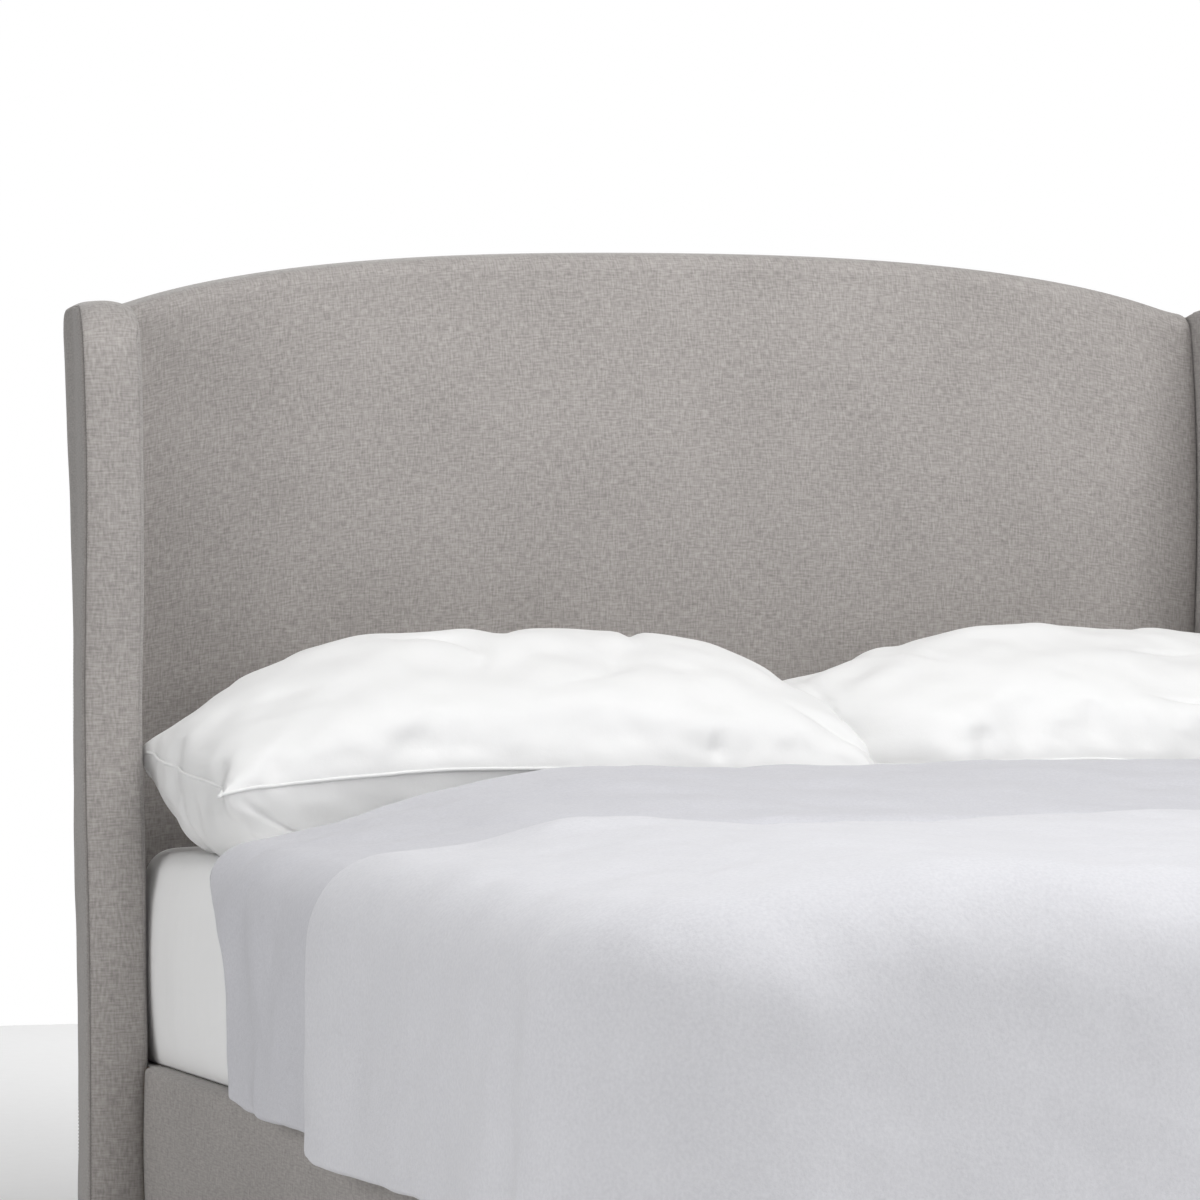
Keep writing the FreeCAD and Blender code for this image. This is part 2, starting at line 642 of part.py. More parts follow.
def build_pillows():
    """Two pillows that lean on the headboard, the left one in front."""
    back_y = FACE_Y - PILLOW_BACK_GAP
    front_y = FACE_Y - PILLOW_D
    crown_y = back_y - PILLOW_SHOULDER
    crown_z = BEDDING_Z + PILLOW_H
    end_x = WING_IN_X - PILLOW_SIDE_GAP
    side_outline = [
        (front_y, BEDDING_Z),
        (back_y, BEDDING_Z),
        (back_y, crown_z - PILLOW_SHOULDER / 2),
        (crown_y + PILLOW_SHOULDER / 2, crown_z),
        (crown_y, crown_z),
        (front_y, BEDDING_Z + PILLOW_FRONT_H),
    ]
    lean = across(side_outline, -end_x, end_x)
    low_z, ahead_y = BEDDING_Z - OVERCUT, front_y - OVERCUT
    shoulders = Part.makePolygon([
        V(-end_x, ahead_y, low_z),
        V(end_x, ahead_y, low_z),
        V(end_x, ahead_y, crown_z - PILLOW_END_DROP / 3),
        V(end_x - PILLOW_END_L / 2, ahead_y, crown_z),
        V(PILLOW_END_L - end_x, ahead_y, crown_z),
        V(-end_x, ahead_y, crown_z - PILLOW_END_DROP),
        V(-end_x, ahead_y, low_z),
    ])
    lean = lean.common(Part.Face(shoulders).extrude(V(0, PILLOW_D + 2 * OVERCUT, 0)))
    z0, z1 = low_z, crown_z + OVERCUT
    gap = PILLOW_GAP
    left_plan = [
        (-end_x - 1, back_y + 1), (-PILLOW_OVERLAP - gap, back_y + 1),
        (PILLOW_OVERLAP - gap, front_y - 1), (-end_x - 1, front_y - 1),
    ]
    right_plan = [
        (end_x + 1, back_y + 1), (-PILLOW_OVERLAP + gap, back_y + 1),
        (PILLOW_OVERLAP + gap, front_y - 1), (end_x + 1, front_y - 1),
    ]
    keep("pillow_left", lean.common(prism(left_plan, z0, z1)))
    keep("pillow_right", lean.common(prism(right_plan, z0, z1)))


def draped_cover(half, head, foot, top_z, hem_z, inside_half, inside_foot, inside_z, radius):
    """Bedding that lies on the bed and hangs over both sides and the foot."""
    y0, y1 = FACE_Y - foot, FACE_Y - head
    block = box(-half, half, y0, y1, hem_z, top_z)
    rims = [
        e for e in block.Edges
        if all(abs(v.Z - top_z) < 0.01 for v in e.Vertexes)
    ]
    uprights = lengthwise_edges(block, V(0, 0, 1), lambda p: abs(p.y - y0) < 0.01)
    block = block.makeFillet(radius, rims + uprights)
    hollow = box(
        -inside_half, inside_half, FACE_Y - inside_foot, y1 + OVERCUT,
        hem_z - OVERCUT, inside_z,
    )
    return block.cut(hollow)


def build_covers():
    """The duvet, and the quilt that lies over its foot half."""
    pressed_z = BEDDING_Z + DUVET_PRESSED
    band_z = BEDDING_Z + DUVET_LOFT
    duvet_head = PILLOW_D + PILLOW_GAP
    duvet = draped_cover(
        DUVET_OUT_X, duvet_head, DUVET_FOOT, band_z, DUVET_HEM_Z,
        DROP_IN_X, DROP_IN_FOOT, BEDDING_Z, DUVET_EDGE_R,
    )
    step = box(
        -DUVET_OUT_X - OVERCUT, DUVET_OUT_X + OVERCUT,
        FACE_Y - DUVET_FOOT - OVERCUT, FACE_Y - QUILT_START + PILLOW_GAP,
        pressed_z, band_z + OVERCUT,
    )
    duvet = duvet.cut(step)
    keep("duvet", duvet)
    quilt_z = pressed_z + REST_GAP
    quilt = draped_cover(
        QUILT_OUT_X, QUILT_START, QUILT_FOOT, quilt_z + QUILT_LOFT, QUILT_HEM_Z,
        QUILT_IN_X, QUILT_IN_FOOT, quilt_z, QUILT_EDGE_R,
    )
    keep("quilt", quilt)


def main():
    """Build every node and write one file for each."""
    frame_bolts = bracket_bolts()
    side_bolts = wing_bolts()
    under_bolts = leg_bolts()
    screws = slat_screws()
    fasteners = frame_bolts + side_bolts + under_bolts
    build_headboard(fasteners)
    build_wings(side_bolts)
    build_side_rails(fasteners + screws)
    build_foot_rail(fasteners)
    build_base(fasteners, screws)
    keep("bracket_bolts", Part.makeCompound(frame_bolts))
    keep("wing_bolts", Part.makeCompound(side_bolts))
    keep("leg_bolts", Part.makeCompound(under_bolts))
    keep("slat_screws", Part.makeCompound(screws))
    build_mattress()
    build_pillows()
    build_covers()

    os.makedirs("parts", exist_ok=True)
    for name, shape in nodes.items():
        shape.exportStep(os.path.join("parts", name + ".step"))
    print(len(nodes), "nodes written")


main()
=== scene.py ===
"""Looks of an upholstered sleigh bed: padded headboard and wings, rails, base and made-up bedding."""

import logging
import math
from dataclasses import dataclass
from enum import Enum
from typing import Callable, Sequence

import bmesh
import bpy
import numpy as np
from mathutils import Matrix, Vector, kdtree


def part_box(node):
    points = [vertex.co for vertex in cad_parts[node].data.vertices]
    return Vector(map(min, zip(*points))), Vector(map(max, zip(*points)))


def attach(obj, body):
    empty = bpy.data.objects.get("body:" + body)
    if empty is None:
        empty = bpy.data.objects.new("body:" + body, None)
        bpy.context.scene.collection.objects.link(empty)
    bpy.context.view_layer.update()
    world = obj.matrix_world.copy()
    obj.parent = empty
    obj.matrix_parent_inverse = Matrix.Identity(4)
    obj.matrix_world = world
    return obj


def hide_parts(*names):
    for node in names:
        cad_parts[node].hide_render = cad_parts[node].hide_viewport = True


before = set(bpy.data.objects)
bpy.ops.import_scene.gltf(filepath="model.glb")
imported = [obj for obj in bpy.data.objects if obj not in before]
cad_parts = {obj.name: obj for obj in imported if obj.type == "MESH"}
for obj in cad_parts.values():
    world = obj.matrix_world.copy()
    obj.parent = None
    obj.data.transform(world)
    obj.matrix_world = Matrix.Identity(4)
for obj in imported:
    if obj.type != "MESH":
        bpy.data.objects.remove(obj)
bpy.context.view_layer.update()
LOG = logging.getLogger("sleigh_bed")

Colour = tuple[float, float, float]
Number = "Value | float"
CLOTH_MAP = "cloth"      # UV map of every sewn piece, in metres
SEAM_SHADE_MARK = "seam"       # 1 in a seam's groove, 0 on open cloth; weights the painted shade in seams
RIM_MARK = "rim"         # order of the points round a sewn edge
HALF_TURN = math.pi
SETTLE = 2e-5            # points nearer than this are one


class Body(Enum):
    """The bodies that pieces ride on."""

    FRAME = "bed_frame"
    MATTRESS = "mattress"
    PILLOW_LEFT = "pillow_left"
    PILLOW_RIGHT = "pillow_right"
    DUVET = "duvet"
    QUILT = "quilt"


class Side(Enum):
    """Left and right of the bed, as the sign of X."""

    LEFT = -1
    RIGHT = 1

    @property
    def word(self) -> str:
        """The ending of the names on this side."""
        return self.name.lower()


# ------------------------------------------------------------------ shapes
def ease(share: np.ndarray | float) -> np.ndarray:
    """A smooth step from 0 to 1."""
    held = np.clip(share, 0.0, 1.0)
    return held * held * (3.0 - 2.0 * held)


def spaced(count: int, crowd: float = 0.0) -> np.ndarray:
    """Shares from 0 to 1, closer together at both ends.

    Args:
        count: How many shares.
        crowd: 0 for even spacing, 1 for the closest ends.

    Returns:
        The shares.
    """
    even = np.linspace(0.0, 1.0, count)
    return (1.0 - crowd) * even + crowd * 0.5 * (1.0 - np.cos(HALF_TURN * even))


class FairLine:
    """A cubic through a few stations, with its end slopes given."""

    def __init__(self, at: Sequence[float], value: Sequence[float], start: float, end: float) -> None:
        """Solves the slopes at the stations.

        Args:
            at: Stations, rising.
            value: The value at each station.
            start: Slope at the first station.
            end: Slope at the last station.
        """
        self.at = np.array(at, float)
        self.value = np.array(value, float)
        span = np.diff(self.at)
        count = len(self.at)
        left = np.eye(count)
        right = np.zeros(count)
        right[0], right[-1] = start, end
        for i in range(1, count - 1):
            left[i, i - 1], left[i, i + 1] = 1 / span[i - 1], 1 / span[i]
            left[i, i] = 2 * (1 / span[i - 1] + 1 / span[i])
            right[i] = 3 * (
                (self.value[i] - self.value[i - 1]) / span[i - 1] ** 2
                + (self.value[i + 1] - self.value[i]) / span[i] ** 2
            )
        self.slope = np.linalg.solve(left, right)

    def __call__(self, where: np.ndarray | float) -> np.ndarray:
        """The value at each place, carried on straight beyond the ends."""
        where = np.asarray(where, float)
        held = np.clip(where, self.at[0], self.at[-1])
        i = np.clip(np.searchsorted(self.at, held, side="right") - 1, 0, len(self.at) - 2)
        span = self.at[i + 1] - self.at[i]
        t = (held - self.at[i]) / span
        value = (
            (2 * t**3 - 3 * t**2 + 1) * self.value[i]
            + (t**3 - 2 * t**2 + t) * span * self.slope[i]
            + (3 * t**2 - 2 * t**3) * self.value[i + 1]
            + (t**3 - t**2) * span * self.slope[i + 1]
        )
        over = where - held
        return value + over * np.where(over > 0, self.slope[-1], self.slope[0])


class Unevenness:
    """Smooth, seeded unevenness: waves of mixed directions added up."""

    def __init__(self, seed: int, wave: Sequence[float], count: int = 22) -> None:
        """Draws the waves.

        Args:
            seed: Fixes the waves.
            wave: Typical wavelength along X, Y and Z, in metres.
            count: How many waves.
        """
        draw = np.random.default_rng(seed)
        turn = draw.normal(size=(count, 3))
        turn /= np.linalg.norm(turn, axis=1, keepdims=True)
        pace = draw.uniform(0.6, 1.7, (count, 1))
        self.turn = 2 * HALF_TURN * turn * pace / np.array(wave, float)
        self.phase = draw.uniform(0, 2 * HALF_TURN, count)
        self.scale = math.sqrt(2.0 / count) * 0.5

    def __call__(self, points: np.ndarray) -> np.ndarray:
        """The unevenness at each point, mostly within -1 and 1."""
        flat = points.reshape(-1, 3)
        total = np.zeros(len(flat))
        for turn, phase in zip(self.turn, self.phase):
            total += np.sin(flat @ turn + phase)
        return (total * self.scale).reshape(points.shape[:-1])


def laid_out(grid: np.ndarray) -> np.ndarray:
    """The grid's own cloth coordinates, in metres along its rows and columns."""
    down = np.linalg.norm(np.diff(grid, axis=0), axis=2).mean(axis=1)
    along = np.linalg.norm(np.diff(grid, axis=1), axis=2).mean(axis=0)
    u = np.concatenate([[0.0], np.cumsum(down)])
    v = np.concatenate([[0.0], np.cumsum(along)])
    return np.stack(np.meshgrid(u, v, indexing="ij"), axis=-1)


class Skin:
    """One mesh, sewn from grids of points that meet at their borders."""

    def __init__(self) -> None:
        """Starts with no cloth."""
        self.points: list[np.ndarray] = []
        self.cloth: list[np.ndarray] = []
        self.marks: list[np.ndarray] = []
        self.rims: list[np.ndarray] = []
        self.quads: list[np.ndarray] = []
        self.count = 0

    def patch(
        self,
        grid: np.ndarray,
        cloth: np.ndarray | None = None,
        seam: np.ndarray | None = None,
        rim: np.ndarray | None = None,
    ) -> None:
        """Adds one grid.

        Args:
            grid: Points, rows by columns by 3.
            cloth: Cloth coordinates in metres; the grid's own lengths if None.
            seam: How deep in a seam each point is, 0 to 1; the weight of the painted shade in the seam.
            rim: Order number of points on a sewn edge, 0 elsewhere.
        """
        rows, columns = grid.shape[:2]
        index = self.count + np.arange(rows * columns).reshape(rows, columns)
        corner = [index[:-1, :-1], index[1:, :-1], index[1:, 1:], index[:-1, 1:]]
        self.quads.append(np.stack(corner, axis=-1).reshape(-1, 4))
        self.points.append(grid.reshape(-1, 3))
        self.cloth.append((laid_out(grid) if cloth is None else cloth).reshape(-1, 2))
        none = np.zeros(rows * columns)
        self.marks.append(none if seam is None else np.broadcast_to(seam, (rows, columns)).ravel())
        self.rims.append(none if rim is None else rim.ravel())
        self.count += rows * columns

    def edge(
        self, outer: np.ndarray, inner: np.ndarray, out: np.ndarray, reach: float, steps: int = 6
    ) -> None:
        """Closes the border between an outer and an inner face with a rounded edge.

        Args:
            outer: Border points of the outer face.
            inner: Border points of the inner face.
            out: Direction in which the edge swells, one for all or one a point.
            reach: How far it swells, in metres.
            steps: Strips round the edge.
        """
        count = len(outer)
        place = np.arange(count)
        held = ease(np.minimum(place, count - 1 - place) / 4.0) * reach
        rows = []
        for turn in np.linspace(0.0, HALF_TURN, steps + 1):
            half = (outer - inner) / 2
            swell = np.broadcast_to(out, outer.shape) * (held * math.sin(turn))[:, None]
            rows.append((outer + inner) / 2 + half * math.cos(turn) + swell)
        self.patch(np.array(rows))

    def shell(self, outer: np.ndarray, inner: np.ndarray, reach: float = 0.0) -> None:
        """Adds an outer and an inner face of the same grid, and closes all four borders.

        Args:
            outer: Points of the outer face.
            inner: Points of the inner face.
            reach: How far the closed borders swell, in metres.
        """
        self.patch(outer)
        self.patch(inner)
        for border, beside in ((0, 1), (-1, -2)):
            for o, i, n in (
                (outer[border], inner[border], outer[beside]),
                (outer[:, border], inner[:, border], outer[:, beside]),
            ):
                away = o - n
                away = away / np.maximum(np.linalg.norm(away, axis=-1, keepdims=True), 1e-9)
                self.edge(o, i, away, reach, 4 if reach else 1)

    def sew(self, name: str) -> bpy.types.Object:
        """Joins the grids where they meet and makes the object.

        Args:
            name: The piece's name.

        Returns:
            The closed mesh, with cloth coordinates, its faces outwards.
        """
        mesh = bpy.data.meshes.new(name)
        mesh.from_pydata(np.concatenate(self.points).tolist(), [], np.concatenate(self.quads).tolist())
        layer = mesh.uv_layers.new(name=CLOTH_MAP)
        corner = np.zeros(len(mesh.loops), np.int64)
        mesh.loops.foreach_get("vertex_index", corner)
        layer.data.foreach_set("uv", np.concatenate(self.cloth)[corner].astype(np.float32).ravel())
        for mark, values in ((SEAM_SHADE_MARK, self.marks), (RIM_MARK, self.rims)):
            attribute = mesh.attributes.new(mark, "FLOAT", "POINT")
            attribute.data.foreach_set("value", np.concatenate(values).astype(np.float32))
        work = bmesh.new()
        work.from_mesh(mesh)
        bmesh.ops.remove_doubles(work, verts=work.verts, dist=SETTLE)
        bmesh.ops.dissolve_degenerate(work, edges=work.edges, dist=SETTLE / 4)
        bmesh.ops.recalc_face_normals(work, faces=work.faces)
        if work.calc_volume(signed=True) < 0:
            bmesh.ops.reverse_faces(work, faces=work.faces)
        work.to_mesh(mesh)
        work.free()
        mesh.shade_smooth()
        piece = bpy.data.objects.new(name, mesh)
        bpy.context.scene.collection.objects.link(piece)
        return piece


def places(piece: bpy.types.Object) -> np.ndarray:
    """The mesh's points."""
    points = np.zeros(len(piece.data.vertices) * 3, np.float32)
    piece.data.vertices.foreach_get("co", points)
    return points.reshape(-1, 3).astype(float)


def set_places(piece: bpy.types.Object, points: np.ndarray) -> None:
    """Moves the mesh's points."""
    piece.data.vertices.foreach_set("co", points.astype(np.float32).ravel())
    piece.data.update()


def normals(piece: bpy.types.Object) -> np.ndarray:
    """The mesh's point normals."""
    found = np.zeros(len(piece.data.vertices) * 3, np.float32)
    piece.data.vertices.foreach_get("normal", found)
    return found.reshape(-1, 3).astype(float)


def as_mesh(piece: bpy.types.Object) -> None:
    """Turns the piece's live modifiers into its plain mesh."""
    graph = bpy.context.evaluated_depsgraph_get()
    made = bpy.data.meshes.new_from_object(piece.evaluated_get(graph), depsgraph=graph)
    piece.modifiers.clear()
    piece.data = made
    made.name = piece.name


def finer(piece: bpy.types.Object, levels: int = 1) -> None:
    """Adds a subdivision surface, the same in view and render."""
    modifier = piece.modifiers.new("finer", "SUBSURF")
    modifier.levels = modifier.render_levels = levels


@dataclass(frozen=True)
class Stuffing:
    """Pressure simulation that rounds out and wrinkles a padded piece."""

    pressure: float = 4.0
    slack: float = 0.03        # spare cloth, as a share of its length
    cap: float = 0.012         # the furthest that a point moves
    frames: int = 20
    stiffness: float = 12.0
    bending: float = 0.4

    def fill(self, piece: bpy.types.Object) -> None:
        """Runs the cloth and keeps its result in the mesh.

        Args:
            piece: A closed mesh with no modifiers.
        """
        rest = places(piece)
        cloth = piece.modifiers.new("stuffing", "CLOTH")
        settings = cloth.settings
        settings.quality = 5
        settings.mass = 0.3
        settings.tension_stiffness = settings.compression_stiffness = self.stiffness
        settings.shear_stiffness = self.stiffness / 3
        settings.bending_stiffness = self.bending
        settings.use_pressure = True
        settings.uniform_pressure_force = self.pressure
        settings.shrink_min = -self.slack
        settings.effector_weights.gravity = 0.0
        cloth.point_cache.frame_start, cloth.point_cache.frame_end = 1, self.frames
        scene = bpy.context.scene
        for step in range(1, self.frames + 1):
            scene.frame_set(step)
        graph = bpy.context.evaluated_depsgraph_get()
        shown = piece.evaluated_get(graph).data
        moved = np.zeros(len(shown.vertices) * 3, np.float32)
        shown.vertices.foreach_get("co", moved)
        shift = moved.reshape(-1, 3).astype(float) - rest
        piece.modifiers.clear()
        scene.frame_set(1)
        length = np.maximum(np.linalg.norm(shift, axis=1, keepdims=True), 1e-9)
        set_places(piece, rest + shift / length * self.cap * np.tanh(length / self.cap))


# ------------------------------------------------------------ shader writing
class Value:
    """A number socket that takes part in arithmetic."""

    def __init__(self, graph: "Graph", socket: bpy.types.NodeSocket) -> None:
        """Wraps a socket of that graph."""
        self.graph = graph
        self.socket = socket

    def _with(self, operation: str, first: "Number", second: "Number") -> "Value":
        """One Math node on two numbers."""
        made = self.graph.add("ShaderNodeMath", {"operation": operation}, {0: first, 1: second})
        return Value(self.graph, made.outputs[0])

    def __add__(self, other: "Number") -> "Value":
        """self + other."""
        return self._with("ADD", self, other)

    def __sub__(self, other: "Number") -> "Value":
        """self - other."""
        return self._with("SUBTRACT", self, other)

    def __rsub__(self, other: "Number") -> "Value":
        """other - self."""
        return self._with("SUBTRACT", other, self)

    def __mul__(self, other: "Number") -> "Value":
        """self * other."""
        return self._with("MULTIPLY", self, other)

    __radd__ = __add__
    __rmul__ = __mul__

    def between(self, low: float, high: float) -> "Value":
        """0 at low, 1 at high, held outside them."""
        limits = {0: self, 1: low, 2: high, 3: 0.0, 4: 1.0}
        made = self.graph.add("ShaderNodeMapRange", {"clamp": True}, limits)
        return Value(self.graph, made.outputs[0])

    def sine(self) -> "Value":
        """The sine of the number."""
        return self._with("SINE", self, 0.0)


class Graph:
    """One material's nodes."""

    def __init__(self, name: str) -> None:
        """Makes an empty material of that name."""
        self.material = bpy.data.materials.new(name)
        self.material.use_nodes = True
        self.nodes = self.material.node_tree.nodes
        self.nodes.clear()

    def add(self, kind: str, settings: dict | None = None, inputs: dict | None = None) -> bpy.types.Node:
        """Makes a node.

        Args:
            kind: The node's type.
            settings: Its own settings, set first.
            inputs: Values or links of its sockets, by name or number.

        Returns:
            The node.
        """
        node = self.nodes.new(kind)
        for name, value in (settings or {}).items():
            setattr(node, name, value)
        for key, value in (inputs or {}).items():
            if isinstance(value, Value):
                value = value.socket
            if isinstance(value, bpy.types.NodeSocket):
                self.material.node_tree.links.new(value, node.inputs[key])
            else:
                node.inputs[key].default_value = value
        return node

    def cloth(self) -> bpy.types.NodeSocket:
        """The piece's cloth coordinates, in metres."""
        return self.add("ShaderNodeUVMap", {"uv_map": CLOTH_MAP}).outputs[0]

    def solid(self) -> bpy.types.NodeSocket:
        """Object coordinates, in metres."""
        return self.add("ShaderNodeTexCoord").outputs["Object"]

    def scaled(self, where: bpy.types.NodeSocket, by: Sequence[float]) -> bpy.types.NodeSocket:
        """Coordinates multiplied axis by axis."""
        made = self.add("ShaderNodeVectorMath", {"operation": "MULTIPLY"}, {0: where, 1: tuple(by)})
        return made.outputs[0]

    def noise(self, where: bpy.types.NodeSocket, by: Sequence[float], detail: float = 2.0) -> Value:
        """Noise on coordinates multiplied axis by axis."""
        made = self.add(
            "ShaderNodeTexNoise", None, {"Vector": self.scaled(where, by), "Scale": 1.0, "Detail": detail}
        )
        return Value(self, made.outputs[0])

    def parts(self, where: bpy.types.NodeSocket) -> tuple[Value, Value, Value]:
        """The three numbers of a vector."""
        made = self.add("ShaderNodeSeparateXYZ", None, {0: where})
        return tuple(Value(self, made.outputs[i]) for i in range(3))

    def mark(self, name: str) -> Value:
        """A number stored on the mesh's points."""
        return Value(self, self.add("ShaderNodeAttribute", {"attribute_name": name}).outputs["Fac"])

    def blend(self, share: "Number", low: object, high: object) -> bpy.types.NodeSocket:
        """A colour from low to high.

        Args:
            share: 0 for low, 1 for high.
            low: Colour or socket.
            high: Colour or socket.

        Returns:
            The colour socket.
        """
        ends = [c if isinstance(c, bpy.types.NodeSocket) else (*c, 1.0) for c in (low, high)]
        made = self.add("ShaderNodeMix", {"data_type": "RGBA"}, {0: share, 6: ends[0], 7: ends[1]})
        return made.outputs[2]

    def close(
        self,
        colour: bpy.types.NodeSocket,
        roughness: "Number",
        height: "Number | None" = None,
        depth: float = 0.001,
        strength: float = 1.0,
        metallic: float = 0.0,
        **fixed: float,
    ) -> bpy.types.Material:
        """Ends the graph in its shader.

        Args:
            colour: Base colour.
            roughness: Roughness.
            height: Height for the bump, 0 to 1.
            depth: Depth of the bump, in metres.
            strength: Strength of the bump.
            metallic: 0 or 1.
            **fixed: Numbers on the shader's own sockets, by name with _ for a space.

        Returns:
            The material.
        """
        inputs = {"Base Color": colour, "Roughness": roughness, "Metallic": metallic}
        inputs.update({name.replace("_", " "): value for name, value in fixed.items()})
        if height is not None:
            relief = {"Strength": strength, "Distance": depth, "Height": height}
            bump = self.add("ShaderNodeBump", None, relief)
            inputs["Normal"] = bump.outputs[0]
        shader = self.add("ShaderNodeBsdfPrincipled", None, inputs)
        self.add("ShaderNodeOutputMaterial", None, {0: shader.outputs[0]})
        return self.material


# ------------------------------------------------------------------ finishes
@dataclass(frozen=True)
class MelangeWeave:
    """Upholstery cloth woven from slubby two-tone yarn."""

    name: str = "melange_weave"
    dark: Colour = (0.188, 0.174, 0.165)
    light: Colour = (0.510, 0.480, 0.459)
    # groove is the colour of the painted shade in the seam grooves
    groove: Colour = (0.11, 0.10, 0.095)
    slub_length: float = 0.013
    slub_width: float = 0.0023
    yarn: float = 0.0011

    def make(self) -> bpy.types.Material:
        """Builds the material."""
        graph = Graph(self.name)
        where = graph.cloth()
        long, thin, fine = 1 / self.slub_length, 1 / self.slub_width, 1 / self.yarn
        across = graph.noise(where, (long, thin, 1.0), 1.5)
        along = graph.noise(where, (thin, long, 1.0), 1.5)
        yarn_across = graph.noise(where, (fine * 0.3, fine, 1.0), 1.0)
        yarn_along = graph.noise(where, (fine, fine * 0.3, 1.0), 1.0)
        cloud = graph.noise(where, (7.0, 7.0, 1.0), 2.0)
        slub = across.between(0.28, 0.74) * 0.5 + along.between(0.28, 0.74) * 0.5
        yarn = yarn_across * 0.5 + yarn_along * 0.5
        tone = slub * 0.72 + yarn * 0.2 + cloud * 0.2 - 0.06
        colour = graph.blend(tone, self.dark, self.light)
        # Painted shade: the cloth darkens towards the groove colour where the seam mark is set
        colour = graph.blend(graph.mark(SEAM_SHADE_MARK), colour, self.groove)
        height = slub * 0.55 + yarn * 0.45
        rough = 0.93 - slub * 0.08
        return graph.close(
            colour, rough, height, 0.0007, 0.55, Sheen_Weight=0.22, Sheen_Roughness=0.5,
            Specular_IOR_Level=0.2,
        )


@dataclass(frozen=True)
class WashedLinen:
    """Soft washed linen with a short fuzz."""

    name: str
    low: Colour
    high: Colour
    crease: float = 0.8

    def make(self) -> bpy.types.Material:
        """Builds the material."""
        graph = Graph(self.name)
        where = graph.solid()
        fuzz = graph.noise(where, (240.0, 240.0, 240.0), 3.0)
        thread = graph.noise(where, (620.0, 620.0, 620.0), 1.0)
        cloud = graph.noise(where, (9.0, 9.0, 9.0), 2.0)
        crumple = graph.noise(where, (34.0, 34.0, 34.0), 3.0)
        tone = fuzz.between(0.3, 0.7) * 0.45 + cloud * 0.35 + thread * 0.2
        colour = graph.blend(tone, self.low, self.high)
        # Painted shade: the linen darkens in seams, by the seam mark
        colour = graph.blend(graph.mark(SEAM_SHADE_MARK) * 0.35, colour, tuple(0.6 * c for c in self.low))
        height = fuzz * 0.25 + thread * 0.15 + crumple * self.crease
        return graph.close(
            colour, 0.9 - fuzz * 0.05, height, 0.0022, 0.7, Sheen_Weight=0.25, Sheen_Roughness=0.4,
            Specular_IOR_Level=0.15,
        )


@dataclass(frozen=True)
class Percale:
    """Smooth white cotton with faint ironing creases."""

    name: str
    low: Colour
    high: Colour
    crease: Sequence[float] = (26.0, 26.0, 26.0)

    def make(self) -> bpy.types.Material:
        """Builds the material."""
        graph = Graph(self.name)
        where = graph.solid()
        thread = graph.noise(where, (900.0, 900.0, 900.0), 1.0)
        crumple = graph.noise(where, self.crease, 4.0)
        cloud = graph.noise(where, (6.0, 6.0, 6.0), 2.0)
        tone = cloud * 0.6 + thread * 0.25 + crumple * 0.15
        colour = graph.blend(tone, self.low, self.high)
        # Painted shade: the cotton darkens in seams, by the seam mark
        colour = graph.blend(graph.mark(SEAM_SHADE_MARK) * 0.45, colour, tuple(0.5 * c for c in self.low))
        height = crumple * 0.8 + thread * 0.1
        return graph.close(
            colour, 0.92 - thread * 0.06, height, 0.0028, 0.5, Sheen_Weight=0.15, Specular_IOR_Level=0.1
        )


@dataclass(frozen=True)
class Ticking:
    """Mattress cloth with woven stripes."""

    name: str = "striped_ticking"
    ground: Colour = (0.80, 0.79, 0.76)
    stripe: Colour = (0.55, 0.58, 0.62)
    pitch: float = 0.024

    def make(self) -> bpy.types.Material:
        """Builds the material."""
        graph = Graph(self.name)
        where = graph.cloth()
        u, _, _ = graph.parts(where)
        wave = (u * (2 * HALF_TURN / self.pitch)).sine()
        line = wave.between(0.55, 0.8)
        thread = graph.noise(where, (800.0, 800.0, 1.0), 1.0)
        tone = line * 0.8 + thread * 0.2
        colour = graph.blend(tone, self.ground, self.stripe)
        height = thread * 0.6 + line * 0.4
        return graph.close(colour, 0.88 - thread * 0.05, height, 0.0005, 0.5, Sheen_Weight=0.1)


@dataclass(frozen=True)
class Timber:
    """Sawn timber with its grain along one axis."""

    name: str
    low: Colour
    high: Colour
    along: int = 1
    gloss: float = 0.62
    ring: float = 26.0

    def make(self) -> bpy.types.Material:
        """Builds the material."""
        graph = Graph(self.name)
        where = graph.solid()
        stretch = [1.0, 1.0, 1.0]
        stretch[self.along] = 0.045
        drift = graph.noise(where, [self.ring * s * 0.5 for s in stretch], 2.0)
        place = graph.add(
            "ShaderNodeVectorMath",
            {"operation": "ADD"},
            {0: graph.scaled(where, [self.ring * s for s in stretch]), 1: (0.3, 0.7, 0.1)},
        ).outputs[0]
        rings = graph.add(
            "ShaderNodeTexWave",
            {"wave_type": "RINGS", "rings_direction": "XYZ"[self.along]},
            {"Vector": place, "Scale": 1.1, "Distortion": 5.0, "Detail": 2.0, "Detail Scale": 1.2},
        )
        growth = Value(graph, rings.outputs["Fac"])
        fibre = graph.noise(where, [620.0 * s for s in stretch], 2.0)
        tone = growth * 0.5 + drift * 0.3 + fibre * 0.3
        colour = graph.blend(tone, self.high, self.low)
        return graph.close(
            colour, self.gloss + fibre * 0.16 - 0.06, fibre * 0.7 + growth * 0.3, 0.0005, 0.5,
            Specular_IOR_Level=0.35,
        )


@dataclass(frozen=True)
class Metal:
    """Plated or powder-coated steel."""

    name: str
    low: Colour
    high: Colour
    metallic: float
    roughness: float

    def make(self) -> bpy.types.Material:
        """Builds the material."""
        graph = Graph(self.name)
        where = graph.solid()
        grit = graph.noise(where, (900.0, 900.0, 900.0), 2.0)
        patch = graph.noise(where, (60.0, 60.0, 60.0), 3.0)
        colour = graph.blend(patch * 0.7 + grit * 0.3, self.low, self.high)
        rough = patch * 0.2 + grit * 0.1 + (self.roughness - 0.15)
        return graph.close(colour, rough, grit, 0.0002, 0.3, self.metallic)


